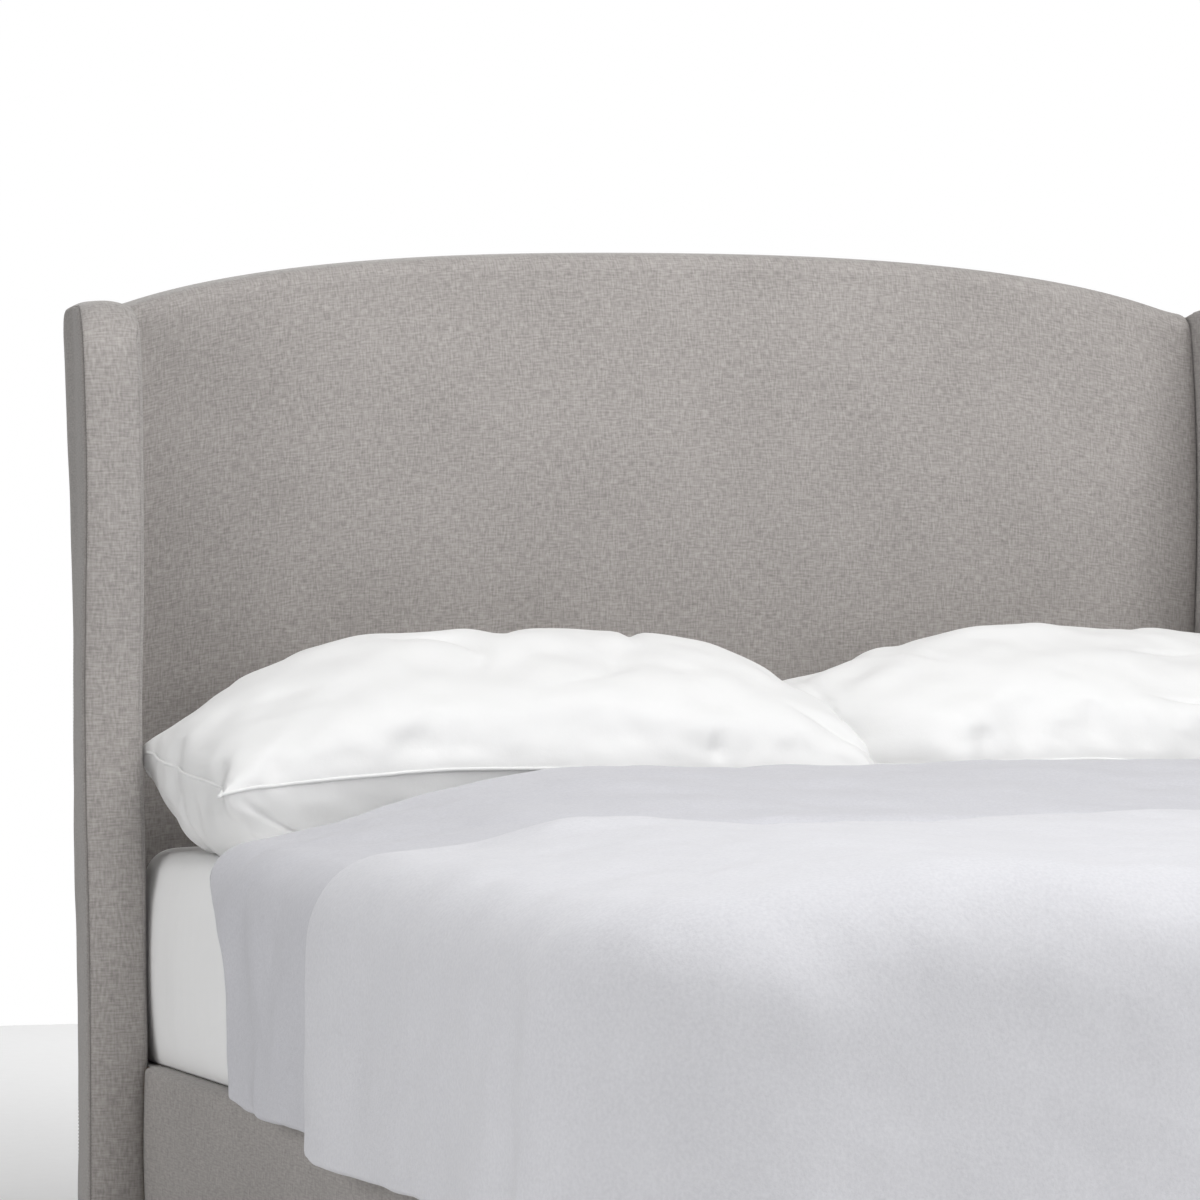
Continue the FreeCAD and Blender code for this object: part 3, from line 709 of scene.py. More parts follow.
@dataclass(frozen=True)
class PaleFloor:
    """Matt studio floor."""

    name: str = "studio_floor"

    def make(self) -> bpy.types.Material:
        """Builds the material."""
        graph = Graph(self.name)
        grain = graph.noise(graph.solid(), (40.0, 40.0, 40.0), 2.0)
        colour = graph.blend(grain, (0.86, 0.86, 0.86), (0.9, 0.9, 0.9))
        return graph.close(colour, 0.9 - grain * 0.05)


class Finishes:
    """Every finish of the bed, made once."""

    def __init__(self) -> None:
        """Builds the materials."""
        pine = ((0.50, 0.34, 0.19), (0.72, 0.56, 0.37))
        self.weave = MelangeWeave().make()
        self.duvet_linen = WashedLinen("duvet_linen_soft", (0.55, 0.55, 0.585), (0.66, 0.66, 0.695)).make()
        self.quilt_linen = WashedLinen(
            "quilt_linen_soft", (0.62, 0.62, 0.652), (0.745, 0.745, 0.775)
        ).make()
        self.pillow_cotton = Percale("pillow_percale", (0.75, 0.75, 0.75), (0.84, 0.84, 0.835)).make()
        self.sheet_cotton = Percale(
            "sheet_percale", (0.90, 0.90, 0.90), (0.96, 0.96, 0.955), (60.0, 60.0, 5.0)
        ).make()
        self.ticking = Ticking().make()
        self.frame_timber = [
            Timber(f"spruce_along_{axis}", *pine, along=i).make() for i, axis in enumerate("xyz")
        ]
        self.slat_pine = Timber("pine_slat", (0.55, 0.38, 0.2), (0.78, 0.62, 0.42), along=0).make()
        self.plywood = Timber(
            "birch_plywood", (0.52, 0.38, 0.24), (0.74, 0.6, 0.43), along=2, ring=14.0
        ).make()
        self.leg_wood = Timber(
            "stained_beech", (0.035, 0.02, 0.013), (0.09, 0.052, 0.032), along=2, gloss=0.4
        ).make()
        self.zinc = Metal("zinc_plate", (0.5, 0.5, 0.48), (0.68, 0.68, 0.65), 1.0, 0.38).make()
        self.black_steel = Metal(
            "black_powder_coat", (0.02, 0.02, 0.021), (0.04, 0.04, 0.042), 0.0, 0.5
        ).make()


def dress(
    piece: bpy.types.Object,
    finish: bpy.types.Material,
    body: Body,
    nodes: Sequence[str] = (),
) -> bpy.types.Object:
    """Gives a piece its finish, its body and the CAD nodes that it stands for.

    Args:
        piece: The finished mesh.
        finish: Its material.
        body: The body that it rides on.
        nodes: CAD nodes that it replaces.

    Returns:
        The piece.
    """
    piece.data.materials.clear()
    piece.data.materials.append(finish)
    if nodes:
        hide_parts(*nodes)
    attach(piece, body.value)
    LOG.info("%s: %d faces on %s", piece.name, len(piece.data.polygons), body.value)
    return piece


# ------------------------------------------------------- stitches and welts
class SewingTree:
    """Geometry Nodes trees that follow a line of points."""

    def __init__(self) -> None:
        """Builds both trees."""
        self.stitch, self.stitch_inputs = self._stitches()
        self.welt, self.welt_inputs = self._welt()

    @staticmethod
    def _start(
        name: str, sizes: dict[str, float]
    ) -> tuple[bpy.types.NodeTree, dict[str, str], bpy.types.Node]:
        """A tree with named size inputs and a material.

        Args:
            name: The tree's name.
            sizes: Input names and default values, in metres.

        Returns:
            The tree, its input identifiers by name, and its Group Input node.
        """
        tree = bpy.data.node_groups.new(name, "GeometryNodeTree")
        face = tree.interface
        face.new_socket(name="Line", in_out="INPUT", socket_type="NodeSocketGeometry")
        known = {}
        for label, value in sizes.items():
            socket = face.new_socket(name=label, in_out="INPUT", socket_type="NodeSocketFloat")
            socket.default_value = value
            known[label] = socket.identifier
        for label, kind in (("Seed", "NodeSocketInt"), ("Finish", "NodeSocketMaterial")):
            known[label] = face.new_socket(name=label, in_out="INPUT", socket_type=kind).identifier
        face.new_socket(name="Sewn", in_out="OUTPUT", socket_type="NodeSocketGeometry")
        return tree, known, tree.nodes.new("NodeGroupInput")

    @staticmethod
    def _end(tree: bpy.types.NodeTree, geometry: bpy.types.NodeSocket, start: bpy.types.Node) -> None:
        """Realizes instances, sets the finish and closes the tree."""
        real = tree.nodes.new("GeometryNodeRealizeInstances")
        finish = tree.nodes.new("GeometryNodeSetMaterial")
        end = tree.nodes.new("NodeGroupOutput")
        tree.links.new(geometry, real.inputs[0])
        tree.links.new(real.outputs[0], finish.inputs["Geometry"])
        tree.links.new(start.outputs["Finish"], finish.inputs["Material"])
        tree.links.new(finish.outputs[0], end.inputs[0])

    def _stitches(self) -> tuple[bpy.types.NodeTree, dict[str, str]]:
        """Even thread stitches along a line."""
        tree, known, start = self._start("StitchRow", {"Pitch": 0.0045, "Length": 0.0032, "Thread": 0.0007})
        new, link = tree.nodes.new, tree.links.new
        curve, even = new("GeometryNodeMeshToCurve"), new("GeometryNodeResampleCurve")
        even.mode = "LENGTH"
        bead, copies = new("GeometryNodeMeshIcoSphere"), new("GeometryNodeInstanceOnPoints")
        bead.inputs["Radius"].default_value = 0.5
        bead.inputs["Subdivisions"].default_value = 1
        tangent, turn = new("GeometryNodeInputTangent"), new("FunctionNodeAlignRotationToVector")
        turn.axis = "X"
        size, long = new("ShaderNodeCombineXYZ"), new("ShaderNodeMath")
        vary = new("FunctionNodeRandomValue")
        vary.data_type = "FLOAT"
        vary.inputs[2].default_value, vary.inputs[3].default_value = 0.88, 1.08
        long.operation = "MULTIPLY"
        link(start.outputs["Line"], curve.inputs[0])
        link(curve.outputs[0], even.inputs["Curve"])
        link(start.outputs["Pitch"], even.inputs["Length"])
        link(even.outputs[0], copies.inputs["Points"])
        link(bead.outputs[0], copies.inputs["Instance"])
        link(tangent.outputs[0], turn.inputs["Vector"])
        link(turn.outputs[0], copies.inputs["Rotation"])
        link(start.outputs["Seed"], vary.inputs["Seed"])
        link(start.outputs["Length"], long.inputs[0])
        link(vary.outputs[1], long.inputs[1])
        link(long.outputs[0], size.inputs[0])
        link(start.outputs["Thread"], size.inputs[1])
        link(start.outputs["Thread"], size.inputs[2])
        link(size.outputs[0], copies.inputs["Scale"])
        self._end(tree, copies.outputs[0], start)
        return tree, known

    def _welt(self) -> tuple[bpy.types.NodeTree, dict[str, str]]:
        """A round welt along a line."""
        tree, known, start = self._start("Welt", {"Radius": 0.0022})
        new, link = tree.nodes.new, tree.links.new
        curve, tube = new("GeometryNodeMeshToCurve"), new("GeometryNodeCurveToMesh")
        ring = new("GeometryNodeCurvePrimitiveCircle")
        ring.inputs["Resolution"].default_value = 8
        link(start.outputs["Line"], curve.inputs[0])
        link(start.outputs["Radius"], ring.inputs["Radius"])
        link(curve.outputs[0], tube.inputs["Curve"])
        link(ring.outputs[0], tube.inputs["Profile Curve"])
        tube.inputs["Fill Caps"].default_value = True
        self._end(tree, tube.outputs[0], start)
        return tree, known

    @staticmethod
    def _run(
        name: str,
        lines: Sequence[tuple[np.ndarray, bool]],
        tree: bpy.types.NodeTree,
        known: dict[str, str],
        values: dict[str, object],
    ) -> bpy.types.Object:
        """Runs a tree on lines of points and keeps the plain mesh.

        Args:
            name: The piece's name.
            lines: Points of each line, and whether it is closed.
            tree: The tree.
            known: Its input identifiers by name.
            values: Values for the inputs, by name.

        Returns:
            The piece.
        """
        points, edges = [], []
        for line, closed in lines:
            first = len(points)
            points += line.tolist()
            edges += [(first + i, first + i + 1) for i in range(len(line) - 1)]
            if closed:
                edges.append((first + len(line) - 1, first))
        mesh = bpy.data.meshes.new(name)
        mesh.from_pydata(points, edges, [])
        piece = bpy.data.objects.new(name, mesh)
        modifier = piece.modifiers.new("sewing", "NODES")
        modifier.node_group = tree
        for label, value in values.items():
            modifier[known[label]] = value
        bpy.context.scene.collection.objects.link(piece)
        as_mesh(piece)
        piece.data.shade_smooth()
        return piece

    def stitch_rows(
        self,
        name: str,
        lines: Sequence[tuple[np.ndarray, bool]],
        finish: bpy.types.Material,
        seed: int,
        **sizes: float,
    ) -> bpy.types.Object:
        """Rows of stitches as one piece."""
        return self._run(
            name, lines, self.stitch, self.stitch_inputs, {"Seed": seed, "Finish": finish, **sizes}
        )

    def welts(
        self, name: str, lines: Sequence[tuple[np.ndarray, bool]], finish: bpy.types.Material, radius: float
    ) -> bpy.types.Object:
        """Welts as one piece."""
        return self._run(name, lines, self.welt, self.welt_inputs, {"Radius": radius, "Finish": finish})


# ------------------------------------------------------------------- frame
class SleighLines:
    """The curves that the headboard and the wings share, read from the CAD sizes."""

    def __init__(self) -> None:
        """Reads the headboard's box and fairs the curves."""
        low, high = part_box("headboard_front_cover")
        self.foot_z, self.crown_z = low.z, high.z
        self.half = high.x
        self.face_y = low.y + 0.022
        self.back_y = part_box("headboard_back_cover")[1].y
        self.curl = FairLine((0.310, 0.740, 0.985, 1.330), (-0.022, 0.0, -0.009, 0.032), 0.0, 0.24)
        self.fall = FairLine((0.0, 0.46, 0.74, 0.925, 1.0), (0.0, 0.125, 0.43, 0.84, 1.0), 0.0, 0.0)
        self.rise = 0.078

    def behind(self, z: np.ndarray | float) -> np.ndarray:
        """How far the face stands behind its waist at a height."""
        return self.curl(np.maximum(z, self.foot_z))

    def face(self, z: np.ndarray | float) -> np.ndarray:
        """The face's Y at a height."""
        return self.face_y + self.behind(z)

    def arch(self, x: np.ndarray | float) -> np.ndarray:
        """The headboard's top at a place across it."""
        return self.crown_z - self.rise * self.fall(np.abs(x) / self.half)


@dataclass
class Headboard:
    """Foam and cloth on the headboard's frame."""

    lines: SleighLines
    finishes: Finishes
    sewing: SewingTree
    foam: float = 0.040
    depth: float = 0.090
    front_round: float = 0.030
    back_round: float = 0.010
    side_roll: float = 0.016
    crown: float = 0.007
    top_pad: float = 0.012
    lap: float = 0.030
    side_return: float = 0.016         # the back cover's turn round the posts
    columns: int = 150

    def _section(self, x: float) -> tuple[np.ndarray, np.ndarray]:
        """Outer and inner line of the padding at a place across the headboard.

        Args:
            x: Place across, in metres.

        Returns:
            Outer and inner points with matching order, from the foot to the back.
        """
        lines = self.lines
        top = float(lines.arch(x))
        roll = max(0.0, (abs(x) - (lines.half - self.side_roll)) / self.side_roll)
        shrink = self.side_roll * (1.0 - math.sqrt(max(0.0, 1.0 - roll**2))) * 0.8
        radius = self.front_round
        swell = self.crown * (1.0 - (abs(x) / lines.half) ** 4)
        outer: list[tuple[float, float]] = []
        inner: list[tuple[float, float]] = []
        for share in spaced(62, 0.35):
            z = lines.foot_z + share * (top - radius - lines.foot_z)
            puff = swell * min(1.0, share / 0.06) ** 0.5 * math.sqrt(max(0.0, 1.0 - 0.3 * share))
            outer.append((float(lines.face(z)) - puff + shrink, z))
            inner.append((float(lines.face(z)) + self.foam, z if share < 1 else top - self.top_pad - 0.001))
        start = outer[-1][0]
        for turn in np.linspace(0.0, HALF_TURN / 2, 11)[1:]:
            z = top - radius + radius * math.sin(turn) - shrink * 0.6
            outer.append((start + radius * (1 - math.cos(turn)), z))
            share = turn / (HALF_TURN / 2)
            inner.append((float(lines.face(top)) + self.foam + 0.004 * share, top - self.top_pad))
        back = float(lines.face(top)) + self.depth
        front = outer[-1][0]
        for share in np.linspace(0.0, 1.0, 9)[1:]:
            y = front + share * (back - self.back_round - front)
            dome = 0.0015 * math.sin(HALF_TURN * share)
            outer.append((y, top - shrink * 0.6 + dome))
            inner.append((float(lines.face(top)) + self.foam + 0.004 + share * 0.040, top - self.top_pad))
        for turn in np.linspace(0.0, HALF_TURN / 2, 6)[1:]:
            y = back - self.back_round + self.back_round * math.sin(turn)
            outer.append((y, top - shrink * 0.6 - self.back_round * (1 - math.cos(turn))))
            inner.append((back - 0.0035, top - self.top_pad))
        for share in np.linspace(0.0, 1.0, 4)[1:]:
            z = top - self.back_round - share * (self.lap - self.back_round)
            outer.append((float(lines.face(z)) + self.depth, z))
            inner.append((float(lines.face(z)) + self.depth - 0.0025, min(z, top - self.top_pad - 0.001)))
        across = lambda pairs: np.array([(x, y, z) for y, z in pairs])
        return across(outer), across(inner)

    def build(self) -> None:
        """Makes the padded front with its lap over the top, and the back cover."""
        half = self.lines.half
        stations = (spaced(self.columns, 0.25) * 2 - 1) * half
        ends = half - self.side_roll + self.side_roll * np.sin(np.linspace(0, HALF_TURN / 2, 7))
        middle = stations[np.abs(stations) < half - self.side_roll]
        stations = np.unique(np.concatenate([middle, ends, -ends]))
        sections = [self._section(float(x)) for x in stations]
        skin = Skin()
        skin.shell(np.array([s[0] for s in sections]), np.array([s[1] for s in sections]))
        front = skin.sew("headboard_upholstery")
        points = places(front)
        uneven = Unevenness(11, (0.55, 0.6, 0.45))
        small = Unevenness(12, (0.16, 0.2, 0.14))
        away = np.clip((half - np.abs(points[:, 0])) / 0.12, 0, 1)
        ahead = points[:, 1] < self.lines.face(points[:, 2]) + 0.02
        facing = np.clip(-normals(front)[:, 1], 0, 1) * ahead
        low = np.clip((points[:, 2] - self.lines.foot_z) / 0.1, 0, 1)
        points[:, 1] -= facing * away * low * (0.0016 * uneven(points) + 0.0005 * small(points))
        set_places(front, points)
        dress(
                front, self.finishes.weave, Body.FRAME,
                ("headboard_front_cover", "headboard_foam"),
            )
        self._back()

    def _back(self) -> None:
        """Makes the flat back cover with a row of stitches along its top."""
        lines, thick = self.lines, 0.0024
        low_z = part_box("headboard_back_cover")[0].z
        outer, inner = [], []
        flat_part = [(x, 0.0, x, thick) for x in np.linspace(-lines.half + 0.001, lines.half - 0.001, 96)]
        edge, under = lines.half + 0.0004, lines.half + 0.0001
        turned = [(edge, self.side_return, under, self.side_return), (edge, 0.0012, under, 0.0030)]
        left = [(-a, b, -c, d) for a, b, c, d in turned]
        for x, ahead, inner_x, inner_ahead in left + flat_part + turned[::-1]:
            top = float(lines.arch(x)) - self.lap - 0.0015
            z = low_z + spaced(60, 0.2) * (top - low_z)
            y = lines.face(z) + self.depth
            outer.append(np.stack([np.full_like(z, x), y - ahead, z], axis=-1))
            inner.append(np.stack([np.full_like(z, inner_x), y - inner_ahead, z], axis=-1))
        outer_grid, inner_grid = np.array(outer), np.array(inner)
        skin = Skin()
        skin.shell(outer_grid, inner_grid)
        back = skin.sew("headboard_back_panel")
        dress(back, self.finishes.weave, Body.FRAME, ("headboard_back_cover",))
        line = outer_grid[2:-2, -1] + np.array([0.0, 0.0004, -0.006])
        thread = self.sewing.stitch_rows(
            "headboard_back_stitches", [(line, False)], self.finishes.weave, 3, Pitch=0.007, Length=0.005,
            Thread=0.0011,
        )
        dress(thread, self.finishes.weave, Body.FRAME)


@dataclass
class Wing:
    """One padded wing: side panels, convex border band and their twin-stitched seam."""

    side: Side
    lines: SleighLines
    finishes: Finishes
    sewing: SewingTree
    front_round: float = 0.072
    back_round: tuple[float, float] = (0.105, 0.046)    # along Y and Z
    reach: float = 0.168               # front edge ahead of the face
    back_reach: float = 0.066          # back edge behind the face, at least
    straight: float = 0.84             # share of the outline's length with the coarser rows
    crown: float = 0.0085
    back_crown: float = 0.004
    flare: float = 0.007
    front_width_x: float = 0.847
    taper: float = 0.215
    held_reach: float = 0.150          # how far ahead of the face the inner side is held off the core
    top_swell: float = 0.009
    puff: float = 0.0045
    rows: int = 150
    grooves: tuple[float, float] = (0.0, 0.0036)

    def _half_line(self, front: bool) -> np.ndarray:
        """Points (y, z) of the outline's front or back half, from its foot to the top's middle."""
        low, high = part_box(f"wing_border_band_{self.side.word}")
        base, top = low.z, high.z - self.crown
        radius, fall = (self.front_round, self.front_round) if front else self.back_round
        if front:
            offset = -self.reach
        else:
            offset = high.y - float(self.lines.face(high.z)) - self.back_crown
            offset = max(offset, self.back_reach)
        edge = lambda z: self.lines.face(z) + offset
        middle = float(self.lines.face(top)) + (offset + (self.back_reach if front else -self.reach)) / 2
        z = np.linspace(base, top - fall, 400)
        line = [np.stack([edge(z), z], axis=-1)]
        sign = 1.0 if front else -1.0
        centre = float(edge(top - fall)) + sign * radius
        lean = float(self.lines.behind(top) - self.lines.behind(top - fall)) * 0.5
        turn = np.linspace(0.0, HALF_TURN / 2, 60)[1:]
        arc_y = centre - sign * radius * np.cos(turn) + lean * np.sin(turn)
        arc = np.stack([arc_y, top - fall + fall * np.sin(turn)], axis=-1)
        line.append(arc)
        flat = np.linspace(arc[-1, 0], middle, 30)[1:]
        line.append(np.stack([flat, np.full_like(flat, top)], axis=-1))
        whole = np.concatenate(line)
        length = np.concatenate([[0.0], np.cumsum(np.linalg.norm(np.diff(whole, axis=0), axis=1))])
        upright = np.linspace(0.0, self.straight, int(self.rows * 0.62))
        curved = np.linspace(self.straight, 1.0, int(self.rows * 0.38) + 1)[1:]
        share = np.concatenate([upright, curved])
        at = share * length[-1]
        return np.stack([np.interp(at, length, whole[:, 0]), np.interp(at, length, whole[:, 1])], axis=-1)

    def _inner_x(self, y: np.ndarray, z: np.ndarray) -> np.ndarray:
        """The inner face's distance from the middle of the bed."""
        low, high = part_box(f"wing_core_{self.side.word}")
        ahead = ease((self.lines.face(z) - y - self.reach + 0.016) / 0.014)
        return min(abs(low.x), abs(high.x)) - 0.0004 + self.flare * ahead

    def _outer_x(self, y: np.ndarray, z: np.ndarray) -> np.ndarray:
        """The outer face's distance from the middle of the bed."""
        back = y - self.lines.face(z)
        swell = self.top_swell * ease((z - 0.80) / 0.35) * ease((back + 0.06) / 0.08)
        return self.front_width_x - self.taper * (back + self.reach) + swell

    def build(self) -> None:
        """Makes the wing's padding and its seams."""
        front, back = self._half_line(True), self._half_line(False)
        outline = np.concatenate([front, back[::-1][1:]])
        spine = (front + back) / 2
        spine = np.concatenate([spine, spine[::-1][1:]])
        tangent = np.gradient(outline, axis=0)
        tangent /= np.linalg.norm(tangent, axis=1, keepdims=True)
        out = np.stack([-tangent[:, 1], tangent[:, 0]], axis=-1)
        behind = ease((outline[:, 0] - self.lines.face(outline[:, 1])) / 0.06 + 0.4)
        crown = self.crown + (self.back_crown - self.crown) * behind
        foot = ease((outline[:, 1] - outline[0, 1]) / 0.02)
        place = lambda x, y, z: np.stack([self.side.value * x, y, z], axis=-1)
        half_width = np.linalg.norm(spine - outline, axis=1)
        inward = (spine - outline) / np.maximum(half_width[:, None], 1e-6)
        steps = np.array([0, 0.9, 1.8, 2.7, 3.6, 4.6, 6.0, 9.0, 14.0, 22.0, 34.0]) / 1000
        faces = {}
        for outer in (True, False):
            grid, marks = [], []
            for k in range(len(steps) + 8):
                if k < len(steps):
                    away = np.minimum(steps[k], half_width * (k + 1) / (len(steps) + 8))
                else:
                    share = (k - len(steps) + 1) / 8
                    start = np.minimum(steps[-1], half_width * len(steps) / (len(steps) + 8))
                    away = start + (half_width - start) * share
                at = outline + inward * away[:, None]
                rise = (self.puff if outer else 0.0025) * (1 - np.exp(-away / 0.016))
                # Painted shade: mark weights the dark groove colour along the twin seam grooves of the
                # outer panel
                mark = np.zeros(len(outline))
                if outer:
                    for groove in self.grooves:
                        near = np.exp(-(((away - groove) / 0.0007) ** 2))
                        rise = rise - 0.0009 * near
                        mark = np.maximum(mark, near)
                base_x = self._outer_x(at[:, 0], at[:, 1]) if outer else self._inner_x(at[:, 0], at[:, 1])
                ahead = ease((self.lines.face(at[:, 1]) - 0.03 - at[:, 0]) / 0.04)
                grid.append(place(base_x + (rise if outer else -rise * 0.4 * ahead), at[:, 0], at[:, 1]))
                marks.append(mark * 0.85)
            faces[outer] = (np.array(grid), np.array(marks))
        skin = Skin()
        for grid, marks in faces.values():
            skin.patch(grid, cloth=grid[..., 1:3], seam=marks)
        band, mark_rows = [], []
        start, end = faces[False][0][0], faces[True][0][0]
        for share in spaced(25, 0.55):
            lift = (4 * share * (1 - share)) ** 0.72 * crown * foot
            row = start + (end - start) * share
            row[:, 1:] += out * lift[:, None]
            band.append(row)
            # Painted shade: darkens the band's edges at its joint with the inner face and at the outer seam
            edge = np.exp(-((share / 0.02) ** 2)) * 0.4 + np.exp(-(((1 - share) / 0.012) ** 2)) * 0.85
            mark_rows.append(np.full(len(row), edge))
        skin.patch(np.array(band), seam=np.array(mark_rows))
        profile = np.concatenate([faces[False][0][::-1], np.array(band)[1:], faces[True][0][1:]])
        skin.patch(np.stack([profile[:, 0], profile[:, -1]], axis=1))
        word = self.side.word
        piece = skin.sew(f"wing_upholstery_{word}")
        points, facing = places(piece), normals(piece)
        uneven = Unevenness(21 + self.side.value, (0.3, 0.35, 0.3))
        small = Unevenness(24 + self.side.value, (0.09, 0.12, 0.1))
        high = ease((points[:, 2] - 0.11) / 0.1)
        points += facing * (high * (0.0011 * uneven(points) + 0.0004 * small(points)))[:, None]
        core_low, core_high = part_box(f"wing_core_{word}")
        clear = min(abs(core_low.x), abs(core_high.x)) - 0.0003
        inwards = facing[:, 0] * self.side.value < -0.5
        beside = inwards & (points[:, 1] > self.lines.face(points[:, 2]) - self.held_reach)
        points[beside, 0] = self.side.value * np.minimum(np.abs(points[beside, 0]), clear)
        set_places(piece, points)
        parts = ("foam", "inner_cover", "outer_cover", "border_band")
        nodes = tuple(f"wing_{part}_{word}" for part in parts)
        dress(piece, self.finishes.weave, Body.FRAME, nodes)
        outer_grid = faces[True][0]
        rows = [(outer_grid[2][2:-2] + place(np.float64(0.0006), 0.0, 0.0), False)]
        rows.append((np.array(band)[-2][2:-2] + place(np.float64(0.0004), 0.0, 0.0), False))
        thread = self.sewing.stitch_rows(
            f"wing_seam_{word}", rows, self.finishes.weave, 5, Pitch=0.0045, Length=0.0034, Thread=0.0009
        )
        dress(thread, self.finishes.weave, Body.FRAME, (f"wing_piping_{word}",))


@dataclass
class RailPadding:
    """Padded cloth over the side rails and the foot rail."""

    finishes: Finishes
    swell: float = 0.002
    corner: float = 0.008

    def _loop(
        self, low_x: float, high_x: float, low_z: float, high_z: float, pad: float
    ) -> tuple[np.ndarray, np.ndarray]:
        """Outer and inner line (depth, height) from the foot of the rail, over its top.

        Args:
            low_x: Inner edge of the rail.
            high_x: Outer face of the cloth.
            low_z: Underside.
            high_z: Top of the cloth.
            pad: Depth of padding and cloth on the outer face.

        Returns:
            Outer and inner points with matching order.
        """
        outer, inner = [], []
        r = self.corner
        for turn in np.linspace(0, HALF_TURN / 2, 6):
            outer.append((high_x - r + r * math.sin(turn), low_z + r - r * math.cos(turn)))
            inner.append((high_x - pad, low_z + 0.001))
        for share in np.linspace(0, 1, 14)[1:-1]:
            z = low_z + r + share * (high_z - low_z - 2 * r)
            outer.append((high_x + self.swell * math.sin(HALF_TURN * share), z))
            inner.append((high_x - pad, z))
        for turn in np.linspace(0, HALF_TURN / 2, 6):
            outer.append((high_x - r + r * math.cos(turn), high_z - r + r * math.sin(turn)))
            inner.append((high_x - pad, high_z - 0.0018))
        for share in np.linspace(0, 1, 5)[1:]:
            x = high_x - r + share * (low_x - high_x + r)
            outer.append((x, high_z))
            inner.append((min(x, high_x - pad), high_z - 0.0018))
        return np.array(outer), np.array(inner)

    def build(self) -> None:
        """Makes the three padded covers."""
        uneven = Unevenness(31, (0.4, 0.4, 0.2))
        for side in Side:
            low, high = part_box(f"rail_cover_{side.word}")
            inner_x, outer_x = sorted((abs(low.x), abs(high.x)))
            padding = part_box(f"rail_padding_{side.word}")[0 if side is Side.RIGHT else 1]
            outer, inner = self._loop(inner_x, outer_x, low.z, high.z, outer_x - abs(padding.x))
            along = low.y + 0.001 + spaced(110, 0.2) * (high.y - low.y - 0.002)
            grids = [
                np.array([[(side.value * a, y, b) for a, b in line] for y in along])
                for line in (outer, inner)
            ]
            rail_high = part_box(f"side_rail_{side.word}")[1]
            ends = (high.y + 0.001, rail_high.y - 0.045)
            for height in (high.z, rail_high.z + 0.0004):
                grids.append(np.array([
                    [(side.value * a, y, height) for a in np.linspace(inner_x + 0.0005, 0.7672, 6)]
                    for y in np.linspace(*ends, 24)
                ]))
            nodes = (f"rail_cover_{side.word}", f"rail_padding_{side.word}")
            self._cover(f"rail_upholstery_{side.word}", grids, uneven, nodes)
        low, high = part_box("foot_rail_cover")
        pad = abs(low.y) - abs(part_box("foot_rail_padding")[1].y)
        outer, inner = self._loop(abs(high.y), abs(low.y), low.z, high.z, pad)
        across = low.x + 0.0005 + spaced(100, 0.2) * (high.x - low.x - 0.001)
        grids = []
        for line in (outer, inner):
            grids.append(np.array([[(x, -a, b) for a, b in line] for x in across]))
        self._cover("foot_rail_upholstery", grids, uneven, ("foot_rail_cover", "foot_rail_padding"))

    def _cover(
        self, name: str, grids: Sequence[np.ndarray], uneven: Unevenness, nodes: Sequence[str]
    ) -> None:
        """Sews one cover from its outer and inner grids."""
        skin = Skin()
        skin.shell(grids[0], grids[1], 0.001)
        if len(grids) > 2:
            skin.shell(grids[2], grids[3])
        piece = skin.sew(name)
        points = places(piece)
        points += normals(piece) * (0.0004 * uneven(points))[:, None]
        set_places(piece, points)
        dress(piece, self.finishes.weave, Body.FRAME, nodes)


class Carcase:
    """Timber, plywood, slats, legs and steel, which keep their CAD shapes."""

    def __init__(self, finishes: Finishes) -> None:
        """Keeps the finishes."""
        self.finishes = finishes

    def build(self) -> None:
        """Gives every shown CAD node its finish."""
        timber, axis = self.finishes.frame_timber, {"x": 0, "y": 1, "z": 2}
        choice: dict[str, bpy.types.Material] = {}
        for name in ("headboard_top_rail", "headboard_mid_rail", "headboard_bottom_rail", "foot_rail"):
            choice[name] = timber[axis["x"]]
        for name in ("side_rail_left", "side_rail_right", "slat_ledgers", "centre_rail"):
            choice[name] = timber[axis["y"]]
        for name in ("headboard_post_left", "headboard_post_right"):
            choice[name] = timber[axis["z"]]
        for name in ("headboard_front_board", "wing_core_left", "wing_core_right"):
            choice[name] = self.finishes.plywood
        for name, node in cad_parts.items():
            if name.startswith("slat_0") or name.startswith("slat_1"):
                choice[name] = self.finishes.slat_pine
            elif name.startswith("leg_") and name != "leg_bolts":
                choice[name] = self.finishes.leg_wood
            elif "bolts" in name or "screws" in name:
                choice[name] = self.finishes.zinc
            elif name in ("corner_brackets", "centre_legs", "centre_hangers"):
                choice[name] = self.finishes.black_steel
            if name in choice:
                if not node.material_slots:
                    node.data.materials.append(choice[name])
                for slot in node.material_slots:
                    slot.material = choice[name]


# ----------------------------------------------------------------- bedding
def corner_rounded(across: np.ndarray, along: np.ndarray, radius: float) -> tuple[np.ndarray, np.ndarray]:
    """Rounds a grid's corner.

    Args:
        across: Distance of each point from the side.
        along: Distance of each point from the end.
        radius: Corner radius.

    Returns:
        The two distances, with the square corner pressed into its arc.
    """
    u = np.clip(1 - across / radius, 0, 1)
    v = np.clip(1 - along / radius, 0, 1)
    inside = (u > 0) & (v > 0)
    new_u, new_v = u * np.sqrt(1 - v**2 / 2), v * np.sqrt(1 - u**2 / 2)
    return np.where(inside, radius * (1 - new_u), across), np.where(inside, radius * (1 - new_v), along)


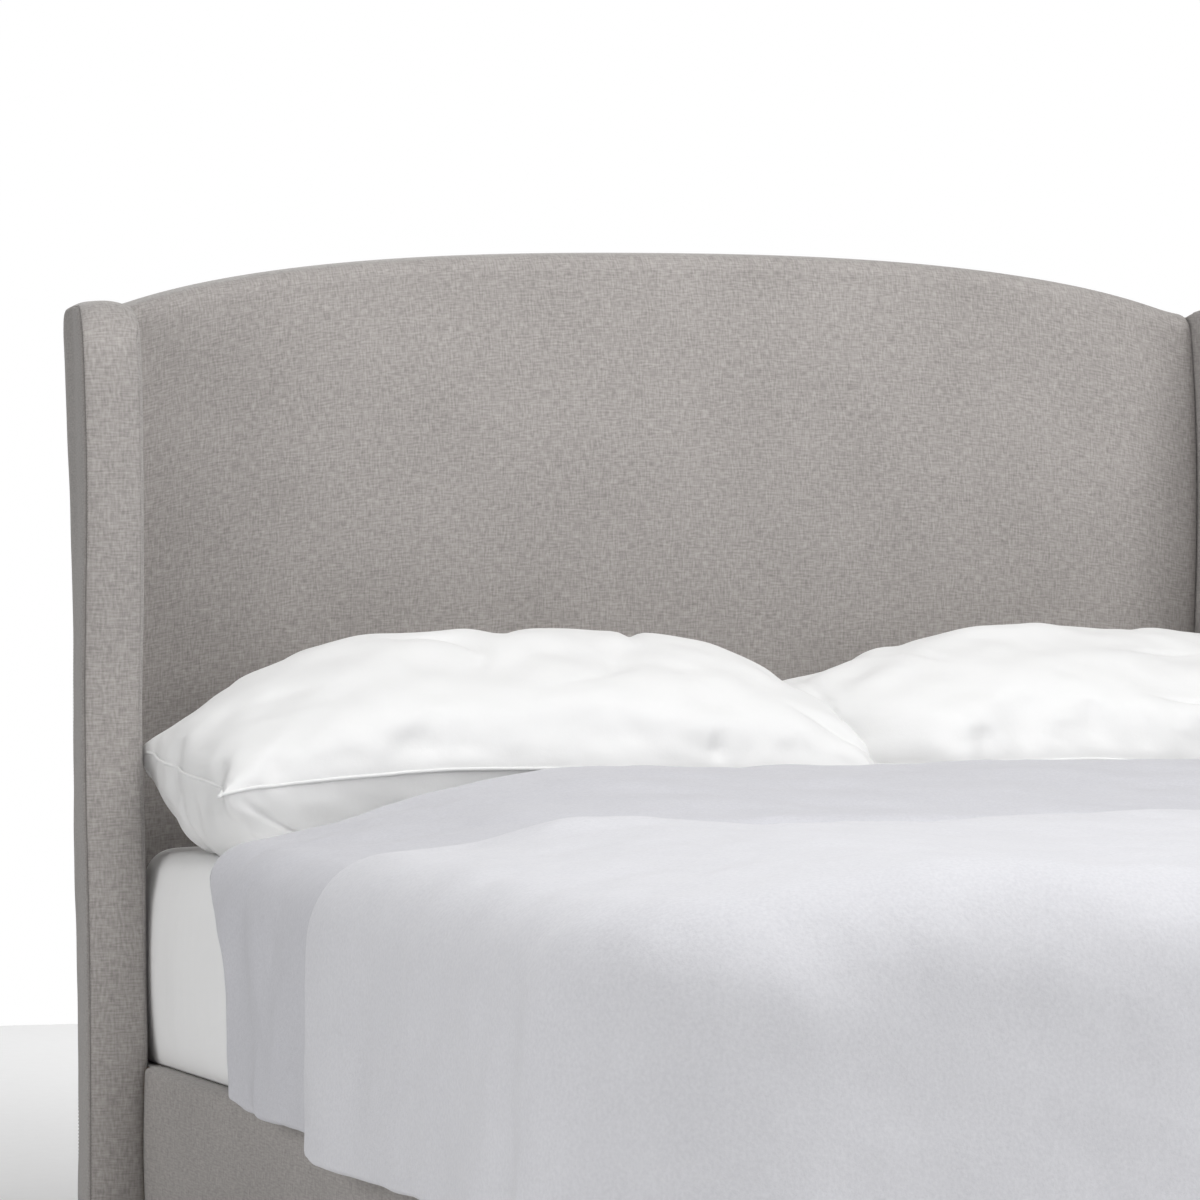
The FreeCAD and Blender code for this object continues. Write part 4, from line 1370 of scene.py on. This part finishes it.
@dataclass
class Drape:
    """A thick cover over the bed: a top, rounded edges and a drop on three sides."""

    outer_x: float
    foot_y: float
    head_y: float
    hem_z: float
    inner_z: float
    side_round: float
    foot_round: float
    thick: float
    top: Callable[[np.ndarray, np.ndarray], np.ndarray]
    fold: Callable[[np.ndarray, np.ndarray, np.ndarray], np.ndarray]
    corner: float = 0.11
    columns: int = 78
    rows: int = 90
    drops: int = 13
    bend: int = 6

    def _plan(self, p: np.ndarray, q: np.ndarray) -> tuple[np.ndarray, np.ndarray]:
        """Places of the top's grid, from shares across (-1 to 1) and along (0 to 1)."""
        half = self.outer_x - self.side_round
        length = self.head_y - (self.foot_y + self.foot_round)
        across, along = corner_rounded(half * (1 - np.abs(p)), length * (1 - q), self.corner)
        return np.sign(p) * (half - across), self.head_y - length + along

    def grids(self) -> dict[str, np.ndarray]:
        """Outer and inner grids of the top and the drops.

        Returns:
            Grids named top, drop, under_top and under_drop.
        """
        p = np.linspace(-1, 1, self.columns)
        q = spaced(self.rows, 0.15)
        x, y = self._plan(*np.meshgrid(p, q, indexing="xy"))
        top = np.stack([x, y, self.top(x, y)], axis=-1)
        under = np.stack([x, y, np.full_like(x, self.inner_z)], axis=-1)
        plan = np.stack([x, y], -1)
        ring = np.concatenate([plan[:, 0], plan[-1, 1:-1], plan[::-1, -1]])
        tangent = np.gradient(ring, axis=0)
        tangent[0] = tangent[-1] = (0.0, -1.0)
        tangent[-1] = (0.0, 1.0)
        tangent /= np.linalg.norm(tangent, axis=1, keepdims=True)
        out = np.stack([tangent[:, 1], -tangent[:, 0]], axis=-1)
        length = np.concatenate([[0.0], np.cumsum(np.linalg.norm(np.diff(ring, axis=0), axis=1))])
        radius = self.side_round * out[:, 0] ** 2 + self.foot_round * out[:, 1] ** 2
        start = self.top(ring[:, 0], ring[:, 1])
        drop, under_drop = [], []
        faces = (
            (drop, start, radius),
            (under_drop, np.full_like(start, self.inner_z), radius - self.thick),
        )
        for turn in np.linspace(0, HALF_TURN / 2, self.bend + 1):
            for store, z0, r in faces:
                z = z0 - r * (1 - math.cos(turn))
                store.append(self._place(ring, out, r * math.sin(turn), z, length))
        for share in np.linspace(0, 1, self.drops + 1)[1:]:
            for store, z0, r in faces:
                z = (z0 - r) + share * (self.hem_z - (z0 - r))
                store.append(self._place(ring, out, r, z, length))
        return {"top": top, "under_top": under, "drop": np.array(drop), "under_drop": np.array(under_drop)}

    def _place(
        self, ring: np.ndarray, out: np.ndarray, away: np.ndarray, z: np.ndarray, length: np.ndarray
    ) -> np.ndarray:
        """Points of one row of the drop, with its folds."""
        low = np.clip((self.inner_z - z) / (self.inner_z - self.hem_z), 0, 1)
        shift = self.fold(length, low, ring)
        spot = ring + out * (away + shift)[:, None]
        return np.concatenate([spot, z[:, None]], axis=1)

    def sew(self, name: str, edge: float) -> bpy.types.Object:
        """Sews the cover.

        Args:
            name: The piece's name.
            edge: How far the head edge swells, in metres.

        Returns:
            The closed mesh.
        """
        grids = self.grids()
        skin = Skin()
        top, drop = grids["top"], grids["drop"]
        under, under_drop = grids["under_top"], grids["under_drop"]
        skin.patch(top, cloth=top[..., :2])
        skin.patch(drop)
        skin.patch(under, cloth=under[..., :2])
        skin.patch(under_drop)
        skin.edge(drop[-1], under_drop[-1], np.array([0.0, 0.0, -1.0]), self.thick * 0.4)
        path = [
            np.concatenate([d[::-1, 0], t[0, 1:-1], d[:, -1]])
            for d, t in ((drop, top), (under_drop, under))
        ]
        skin.edge(path[0], path[1], np.array([0.0, 1.0, 0.0]), edge)
        return skin.sew(name)


@dataclass
class Bedding:
    """Duvet and quilt."""

    lines: SleighLines
    finishes: Finishes
    duvet_side_z: float = 0.594     # the bare duvet's top at its sides
    duvet_loft: float = 0.079       # how far its middle stands above them
    duvet_settle: float = 0.036     # how far it sinks towards the quilt
    pressed_z: float = 0.6022       # its top under the quilt
    quilt_side_z: float = 0.612     # the quilt's top at its sides
    quilt_loft: float = 0.038       # how far its middle stands above them

    def _duvet_top(self, x: np.ndarray, y: np.ndarray) -> np.ndarray:
        """Height of the duvet: a lofty bare band, pressed flat under the quilt."""
        back = self.lines.face_y - y
        shoulder = np.where(x < 0, ease((0.80 + x) / 0.50), ease((0.80 - x) / 0.24))
        crest = self.duvet_side_z + self.duvet_loft * shoulder ** 0.85
        settle = crest - self.duvet_settle * ease((back - 0.60) / 0.42) * shoulder
        share = ease((back - 0.975) / 0.075)
        bare = settle + 0.004 * Unevenness(41, (0.5, 0.4, 1.0))(np.stack([x, y, 0 * x], -1))
        return bare * (1 - share) + self.pressed_z * share

    def _quilt_top(self, x: np.ndarray, y: np.ndarray) -> np.ndarray:
        """Height of the quilt, with soft dips."""
        back = self.lines.face_y - y
        shoulder = ease((0.86 - np.abs(x)) / 0.42)
        soft = Unevenness(43, (0.55, 0.5, 1.0))(np.stack([x, y, 0 * x], -1))
        near = np.exp(-(((back - 1.13) / 0.06) ** 2))
        wavy = Unevenness(44, (0.26, 3.0, 1.0))(np.stack([x, 0 * x, 0 * x], -1))
        roll = (0.012 * wavy * near - 0.010 * np.exp(-(((back - 1.07) / 0.09) ** 2))) * shoulder
        return self.quilt_side_z + self.quilt_loft * shoulder + 0.006 * soft * shoulder + roll

    def build(self) -> None:
        """Makes both covers."""
        face = self.lines.face_y
        low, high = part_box("duvet")
        folds = Unevenness(51, (0.34, 0.34, 0.6))

        def duvet_fold(length: np.ndarray, low_share: np.ndarray, ring: np.ndarray) -> np.ndarray:
            """Gentle waves of the duvet's drop, inwards where the quilt lies on it."""
            at = np.concatenate([ring, np.zeros((len(ring), 1))], axis=1)
            bare = ease((ring[:, 1] - (face - 1.02)) / 0.12)
            return (0.010 * folds(at) - 0.003) * low_share * bare

        def quilt_fold(length: np.ndarray, low_share: np.ndarray, ring: np.ndarray) -> np.ndarray:
            """Waves of the quilt's drop, with a deep fold at each foot corner."""
            at = np.concatenate([ring, np.zeros((len(ring), 1))], axis=1)
            wave = (0.007 * folds(at * 1.3 + 0.7) + 0.004) * low_share
            for turn in (-ring[:, 0] - ring[:, 1], ring[:, 0] - ring[:, 1]):
                gap = length - length[np.argmax(turn)]
                deep = np.exp(-((gap / 0.035) ** 2))
                beside = np.exp(-(((np.abs(gap) - 0.085) / 0.04) ** 2))
                wave = wave + low_share ** 0.8 * (0.014 * beside - 0.016 * deep)
            return wave

        duvet = Drape(
            outer_x=high.x, foot_y=low.y, head_y=high.y - 0.016, hem_z=low.z + 0.012, inner_z=0.5612,
            side_round=0.078, foot_round=0.08, thick=0.034, top=self._duvet_top, fold=duvet_fold,
        )
        piece = duvet.sew("duvet_filled", 0.022)
        points = places(piece)
        drop = ease((0.62 - points[:, 2]) / 0.16) * ease((points[:, 1] - (face - 0.95)) / 0.4)
        points[:, 1] -= 0.155 * drop
        near_head = ease((points[:, 1] - (face - 0.95)) / 0.4)
        points[:, 1] -= 0.05 * ease((-points[:, 0] - 0.30) / 0.45) * near_head
        set_places(piece, points)
        self._finish(piece, 45, 0.0026)
        dress(piece, self.finishes.duvet_linen, Body.DUVET, ("duvet",))

        low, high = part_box("quilt")
        quilt = Drape(
            outer_x=high.x - 0.010, foot_y=low.y + 0.004, head_y=high.y - 0.016,
            hem_z=low.z + 0.01, inner_z=0.6036, side_round=0.104, foot_round=0.118, thick=0.026,
            top=self._quilt_top, fold=quilt_fold,
        )
        piece = quilt.sew("quilt_filled", 0.016)
        self._finish(piece, 47, 0.0024)
        dress(piece, self.finishes.quilt_linen, Body.QUILT, ("quilt",))

    @staticmethod
    def _finish(piece: bpy.types.Object, seed: int, amount: float) -> None:
        """Subdivides a cover and roughens it softly.

        Args:
            piece: The cover.
            seed: Fixes the unevenness.
            amount: Its height, in metres.
        """
        finer(piece)
        as_mesh(piece)
        points = places(piece)
        soft = Unevenness(seed, (0.16, 0.14, 0.16))(points)
        small = Unevenness(seed + 1, (0.05, 0.06, 0.07))(points)
        points += normals(piece) * (amount * (soft + 0.25 * small))[:, None]
        set_places(piece, points)
        piece.data.shade_smooth()


@dataclass
class Pillow:
    """A stuffed pillow that leans on the headboard."""

    side: Side
    lines: SleighLines
    finishes: Finishes
    sewing: SewingTree
    ends: tuple[float, float]          # X of its left and right seam
    front_ends: tuple[float, float]    # front seam ahead of the face at its left and right end
    back_ends: tuple[float, float]     # the same for the back seam
    end_z: tuple[float, float]         # height of the back seam at its two ends
    front: float = 0.452               # front seam ahead of the face between its ends, less its curve
    back: float = 0.036                # back seam ahead of the face between its ends
    crest: float = 0.768
    rise: float = 0.078
    sag: float = 0.175
    hold: tuple[float, float] = (1.3, 1.3)    # how far the crest holds towards each end
    fall: float = -0.25                # where the crest begins to fall to the left

    def build(self) -> None:
        """Makes the pillow and its seam."""
        across, up = 84, 58
        crowded = [np.sin(np.linspace(-1, 1, count) * HALF_TURN / 2) for count in (across, up)]
        a, b = np.meshgrid(*crowded, indexing="ij")
        share = (a + 1) / 2
        lift = (b + 1) / 2
        face = self.lines.face_y
        near = self.ends[0] + (self.ends[1] - self.ends[0]) * share
        tuck = 0.03 * (1 - lift) * a * np.abs(a) ** 3
        x = near - tuck + 0.010 * a * np.abs(a) ** 6 * (2 * lift - 1) ** 4
        left = ease((-a - 0.25) / 0.75) ** self.hold[0]
        right = ease((a - 0.25) / 0.75) ** self.hold[1]
        y_front = (
            -self.front + left * (self.front - self.front_ends[0])
            + right * (self.front - self.front_ends[1]) + 0.010 * (1 - a**2)
        )
        y_back = (
            -self.back + left * (self.back - self.back_ends[0])
            + right * (self.back - self.back_ends[1])
        )
        z_front = 0.659 + 0.012 * np.sin(2.2 * a + 1.9) - 0.008 * np.abs(a) ** 6
        sink = ease((self.fall - a) / (1 + self.fall)) ** self.hold[0]
        z_back = self.crest - sink * (self.crest - self.end_z[0]) - right * (self.crest - self.end_z[1])
        y = face + y_front + (y_back - y_front) * lift
        middle = np.stack([x, y, z_front + (z_back - z_front) * lift], axis=-1)
        along = np.gradient(middle, axis=0)
        uphill = np.gradient(middle, axis=1)
        facing = np.cross(along, uphill)
        facing /= np.maximum(np.linalg.norm(facing, axis=-1, keepdims=True), 1e-9)
        round_a, round_b = (1 - np.abs(a) ** 3.4) ** 0.55, (1 - np.abs(b) ** 2.6) ** 0.58
        over = self.rise * round_a * round_b * (1 + 0.22 * b)
        below = self.sag * (1 - np.abs(a) ** 4.5) ** 0.5 * (1 - np.abs(b) ** 2.4) ** 0.5
        upper = middle + facing * over[..., None]
        lower = middle - facing * below[..., None]
        order = np.zeros_like(a)
        ring = [(i, 0) for i in range(across)] + [(across - 1, j) for j in range(1, up)]
        ring += [(i, up - 1) for i in range(across - 2, -1, -1)] + [(0, j) for j in range(up - 2, 0, -1)]
        for place, (i, j) in enumerate(ring):
            order[i, j] = place + 1
        skin = Skin()
        for grid in (upper, lower):
            skin.patch(grid, rim=order)
        word = self.side.word
        piece = skin.sew(f"pillow_{word}_stuffed")
        seed = 60 + 7 * self.side.value
        points = places(piece)
        broad = Unevenness(seed, (0.2, 0.2, 0.2))(points)
        small = Unevenness(seed + 1, (0.06, 0.07, 0.06))(points)
        points += normals(piece) * (0.004 * broad + 0.0012 * small)[:, None]
        set_places(piece, self._held(points))
        Stuffing(pressure=4.0, slack=0.08, cap=0.017, frames=22, bending=0.12).fill(piece)
        set_places(piece, self._held(places(piece)))
        rank = np.zeros(len(piece.data.vertices), np.float32)
        piece.data.attributes[RIM_MARK].data.foreach_get("value", rank)
        line = places(piece)[np.argsort(rank)[np.count_nonzero(rank == 0):]]
        centre = places(piece).mean(axis=0)
        away = line - centre
        away /= np.linalg.norm(away, axis=1, keepdims=True)
        self._creased(piece, line, seed)
        body = Body.PILLOW_LEFT if self.side is Side.LEFT else Body.PILLOW_RIGHT
        cotton = self.finishes.pillow_cotton
        dress(piece, cotton, body, (f"pillow_{word}",))
        edge = [(self._held(line + away * 0.0015, 0.003), True)]
        seam = self.sewing.welts(f"pillow_{word}_seam", edge, cotton, 0.0024)
        dress(seam, cotton, body)

    def _creased(self, piece: bpy.types.Object, seam: np.ndarray, seed: int) -> None:
        """Subdivides the pillow and lays soft creases in its cotton.

        Args:
            piece: The pillow.
            seam: Points of its seam.
            seed: Fixes the creases.
        """
        finer(piece)
        as_mesh(piece)
        points = places(piece)
        tree = kdtree.KDTree(len(seam))
        for index, point in enumerate(seam):
            tree.insert(point, index)
        tree.balance()
        gap = np.array([tree.find(point)[2] for point in points])
        open_cloth = ease((gap - 0.006) / 0.03)
        drawn = np.exp(-(((gap - 0.03) / 0.045) ** 2))
        line = Unevenness(seed + 2, (0.34, 0.30, 0.22))(points)
        fade = ease(0.5 + Unevenness(seed + 3, (0.3, 0.3, 0.3))(points))
        fold = np.exp(-((line / 0.09) ** 2)) * fade
        soft = Unevenness(seed + 4, (0.11, 0.12, 0.09))(points)
        pucker = Unevenness(seed + 5, (0.06, 0.09, 0.07))(points)
        depth = open_cloth * (0.0030 * soft - 0.0085 * fold) + 0.0018 * drawn * open_cloth * pucker
        set_places(piece, self._held(points + normals(piece) * depth[:, None]))
        piece.data.shade_smooth()

    def _held(self, points: np.ndarray, clear: float = 0.0) -> np.ndarray:
        """Keeps points on the mattress, off the headboard and between the wings.

        Args:
            points: Points to hold.
            clear: Extra room, in metres.

        Returns:
            The held points.
        """
        held = points.copy()
        limit = abs(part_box("pillow_left")[0].x) - clear
        held[:, 0] = np.clip(held[:, 0], -limit, limit)
        ceiling = self.lines.face(np.maximum(held[:, 2], 0.5)) - 0.010 - clear
        held[:, 1] = np.minimum(held[:, 1], ceiling)
        held[:, 2] = np.maximum(held[:, 2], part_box("pillow_left")[0].z + clear)
        return held


@dataclass
class Mattress:
    """The mattress with taped borders, in its fitted sheet."""

    finishes: Finishes
    sewing: SewingTree
    cloth: float = 0.0015
    corner: float = 0.06
    bulge: float = 0.011
    inset: float = 0.002         # the filled mattress inside its box
    body_edge: float = 0.034     # radius of its top and bottom edges
    sheet_gap: float = 0.0002    # inner face of the sheet outside the box

    def _box_grids(self, grow: float, edge: float, foot: float) -> tuple[np.ndarray, ...]:
        """Top, side and bottom grids of a rounded slab.

        Args:
            grow: How far it stands outside the mattress's box.
            edge: Radius of the top edge.
            foot: Radius of the bottom edge.

        Returns:
            Top, side and bottom grids, and the side's outward directions.
        """
        low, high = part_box("mattress")
        half_x = high.x + grow - edge
        middle_y, half_y = (low.y + high.y) / 2, (high.y - low.y) / 2 + grow - edge
        p, q = np.meshgrid(np.linspace(-1, 1, 60), np.linspace(-1, 1, 80), indexing="xy")
        radius = self.corner - edge + 0.03
        across, along = corner_rounded(half_x * (1 - np.abs(p)), half_y * (1 - np.abs(q)), radius)
        x, y = np.sign(p) * (half_x - across), middle_y + np.sign(q) * (half_y - along)
        top = np.stack([x, y, np.full_like(x, high.z + grow)], axis=-1)
        ring = np.concatenate([
            np.stack([x[0, :], y[0, :]], -1), np.stack([x[1:, -1], y[1:, -1]], -1),
            np.stack([x[-1, -2::-1], y[-1, -2::-1]], -1), np.stack([x[-2::-1, 0], y[-2::-1, 0]], -1),
        ])
        wide = np.concatenate([ring[-2:-1], ring, ring[1:2]])
        tangent = wide[2:] - wide[:-2]
        tangent /= np.linalg.norm(tangent, axis=1, keepdims=True)
        out = np.stack([tangent[:, 1], -tangent[:, 0]], axis=-1)
        rows = []
        for turn in np.linspace(0, HALF_TURN / 2, 7):
            spot = ring + out * edge * math.sin(turn)
            z = high.z + grow - edge * (1 - math.cos(turn))
            rows.append(np.column_stack([spot, np.full(len(ring), z)]))
        for share in np.linspace(0, 1, 14)[1:]:
            z = high.z + grow - edge + share * (low.z + foot - high.z - grow + edge)
            full = self.bulge * math.sin(HALF_TURN * min(1.0, share * 1.02)) ** 0.6 * out[:, :1] ** 2
            rows.append(np.column_stack([ring + out * (edge + full), np.full(len(ring), z)]))
        for turn in np.linspace(0, HALF_TURN / 2, 5)[1:]:
            if foot <= 0:
                break
            spot = ring + out * (edge - foot * (1 - math.cos(turn)))
            rows.append(np.column_stack([spot, np.full(len(ring), low.z + foot * (1 - math.sin(turn)))]))
        bottom = top.copy()
        bottom[..., 2] = low.z
        return top, np.array(rows), bottom, out

    def build(self) -> None:
        """Makes the mattress, its tapes and the sheet."""
        top, side, bottom, _ = self._box_grids(-self.inset, self.body_edge, self.body_edge)
        skin = Skin()
        skin.patch(top, cloth=top[..., :2])
        skin.patch(side)
        skin.patch(bottom, cloth=bottom[..., :2])
        body = skin.sew("mattress_stuffed")
        points = places(body)
        soft = Unevenness(71, (0.3, 0.3, 0.2))(points)
        points += normals(body) * (-0.0012 + 0.0008 * soft)[:, None]
        points[:, 2] = np.maximum(points[:, 2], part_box("mattress")[0].z)
        set_places(body, points)
        ticking = self.finishes.ticking
        dress(body, ticking, Body.MATTRESS, ("mattress",))
        tapes = [(side[3][:-1], True), (side[-3][:-1], True)]
        tape = self.sewing.welts("mattress_tape", tapes, self.finishes.ticking, 0.0028)
        held = places(tape)
        low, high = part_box("mattress")
        held[:, 2] = np.clip(held[:, 2], low.z, high.z)
        set_places(tape, held)
        dress(tape, self.finishes.ticking, Body.MATTRESS)
        self._sheet()

    def _sheet(self) -> None:
        """Makes the fitted sheet, pulled over the mattress with fine upright wrinkles."""
        outer = self._box_grids(self.cloth, self.body_edge + 0.0025, 0.0)
        inner = self._box_grids(self.sheet_gap, self.body_edge + 0.0012, 0.0)
        top, side, _, out = outer
        low_z, high_z = side[-1, 0, 2], side[0, 0, 2]
        length = np.concatenate([[0.0], np.cumsum(np.linalg.norm(np.diff(side[8], axis=0), axis=1))])
        rows = side.copy()
        waves = Unevenness(75, (0.05, 1.0, 1.0), 30)
        for k, row in enumerate(rows):
            share = (high_z - row[:, 2]) / (high_z - low_z)
            at = np.column_stack([length, row[:, 2] * 0.22, 0 * length])
            amount = 0.0011 * ease(share / 0.25) * waves(at) + 0.0011 * ease(share / 0.25)
            rows[k, :, :2] += out * amount[:, None]
        rows[:, -1] = rows[:, 0]
        skin = Skin()
        skin.patch(top, cloth=top[..., :2])
        skin.patch(rows)
        skin.patch(inner[0], cloth=inner[0][..., :2])
        skin.patch(inner[1])
        skin.patch(np.stack([rows[-1], inner[1][-1]]))
        sheet = skin.sew("fitted_sheet_cotton")
        finer(sheet)
        dress(sheet, self.finishes.sheet_cotton, Body.MATTRESS, ("fitted_sheet",))


# -------------------------------------------------------------------- studio
class Studio:
    """Floor, light and camera."""

    # name, place and aim from the headboard's face, size in metres, power in watts
    LIGHTS = (
        ("key", (2.6, -5.6, 3.3), (0.0, -0.6, 0.75), 3.2, 112.0),
        ("top", (0.4, -1.9, 4.0), (0.1, -0.9, 0.4), 3.6, 132.0),
        ("right", (3.6, -6.0, 1.5), (0.0, -0.4, 0.8), 2.6, 28.0),
        ("left", (-4.4, -2.0, 1.6), (-0.8, -0.7, 0.6), 2.2, 54.0),
        ("left_front", (-4.2, -4.2, 2.2), (-0.4, -0.8, 0.6), 2.4, 26.0),
        ("back", (0.5, 3.6, 2.6), (0.0, 0.6, 0.2), 3.0, 80.0),
    )
    AMBIENT = 0.06

    def __init__(self, lines: SleighLines) -> None:
        """Keeps the bed's lines."""
        self.lines = lines

    def build(self) -> None:
        """Makes the stage."""
        self._floor()
        self._world()
        self._camera()
        scene = bpy.context.scene
        scene.view_settings.view_transform = "Standard"
        face = self.lines.face_y
        for name, place, aim, size, power in self.LIGHTS:
            spot = (place[0], face + place[1], place[2])
            target = (aim[0], face + aim[1], aim[2])
            self._softbox(name, spot, target, size, power)

    @staticmethod
    def _floor() -> None:
        """A pale round floor."""
        mesh = bpy.data.meshes.new("studio_floor")
        work = bmesh.new()
        bmesh.ops.create_circle(work, cap_ends=True, segments=96, radius=4.6)
        work.to_mesh(mesh)
        work.free()
        mesh.transform(Matrix.Translation((0.0, 0.0, -0.0005)))
        floor = bpy.data.objects.new("studio_floor", mesh)
        mesh.materials.append(PaleFloor().make())
        bpy.context.scene.collection.objects.link(floor)

    def _world(self) -> None:
        """White where the camera looks past the bed, a softer grey as light."""
        world = bpy.data.worlds.new("studio")
        bpy.context.scene.world = world
        world.use_nodes = True
        tree = world.node_tree
        tree.nodes.clear()
        path = tree.nodes.new("ShaderNodeLightPath")
        seen, light = tree.nodes.new("ShaderNodeBackground"), tree.nodes.new("ShaderNodeBackground")
        seen.inputs[0].default_value = (1.0, 1.0, 1.0, 1.0)
        light.inputs[0].default_value = (1.0, 1.0, 1.0, 1.0)
        light.inputs[1].default_value = self.AMBIENT
        mix, end = tree.nodes.new("ShaderNodeMixShader"), tree.nodes.new("ShaderNodeOutputWorld")
        tree.links.new(path.outputs["Is Camera Ray"], mix.inputs[0])
        tree.links.new(light.outputs[0], mix.inputs[1])
        tree.links.new(seen.outputs[0], mix.inputs[2])
        tree.links.new(mix.outputs[0], end.inputs[0])

    def _camera(self) -> None:
        """A long lens, low and to the left of the bed's axis."""
        data = bpy.data.cameras.new("camera")
        data.lens, data.sensor_width = 209.5, 36.0
        data.clip_end = 60.0
        camera = bpy.data.objects.new("camera", data)
        camera.location = (-3.17, self.lines.face_y - 8.71, 1.13)
        camera.rotation_euler = (math.radians(88.39), 0.0, math.radians(-19.44))
        bpy.context.scene.collection.objects.link(camera)
        bpy.context.scene.camera = camera

    @staticmethod
    def _softbox(
        name: str, place: Sequence[float], aim: Sequence[float], size: float, power: float
    ) -> None:
        """One large square light.

        Args:
            name: Its name.
            place: Where it stands.
            aim: Where it points.
            size: Its side, in metres.
            power: In watts.
        """
        data = bpy.data.lights.new(name, "AREA")
        data.shape, data.size, data.energy = "SQUARE", size, power
        light = bpy.data.objects.new(name, data)
        light.location = place
        light.rotation_euler = (Vector(aim) - Vector(place)).to_track_quat("-Z", "Y").to_euler()
        light.visible_camera = False
        bpy.context.scene.collection.objects.link(light)


def main() -> None:
    """Builds the bed's pieces in order."""
    logging.basicConfig(level=logging.INFO, format="%(message)s")
    lines, finishes, sewing = SleighLines(), Finishes(), SewingTree()
    Carcase(finishes).build()
    Headboard(lines, finishes, sewing).build()
    for side in Side:
        Wing(side, lines, finishes, sewing).build()
    RailPadding(finishes).build()
    Mattress(finishes, sewing).build()
    Pillow(
        Side.LEFT, lines, finishes, sewing, ends=(-0.758, 0.156), front_ends=(0.446, 0.446),
        back_ends=(0.140, 0.225), end_z=(0.683, 0.690), hold=(1.3, 2.9),
    ).build()
    Pillow(
        Side.RIGHT, lines, finishes, sewing, ends=(-0.062, 0.762), front_ends=(0.190, 0.440),
        back_ends=(0.040, 0.060), end_z=(0.640, 0.802), crest=0.770, hold=(1.0, 2.0), fall=0.25,
    ).build()
    Bedding(lines, finishes).build()
    Studio(lines).build()


if __name__ == "__main__":
    main()
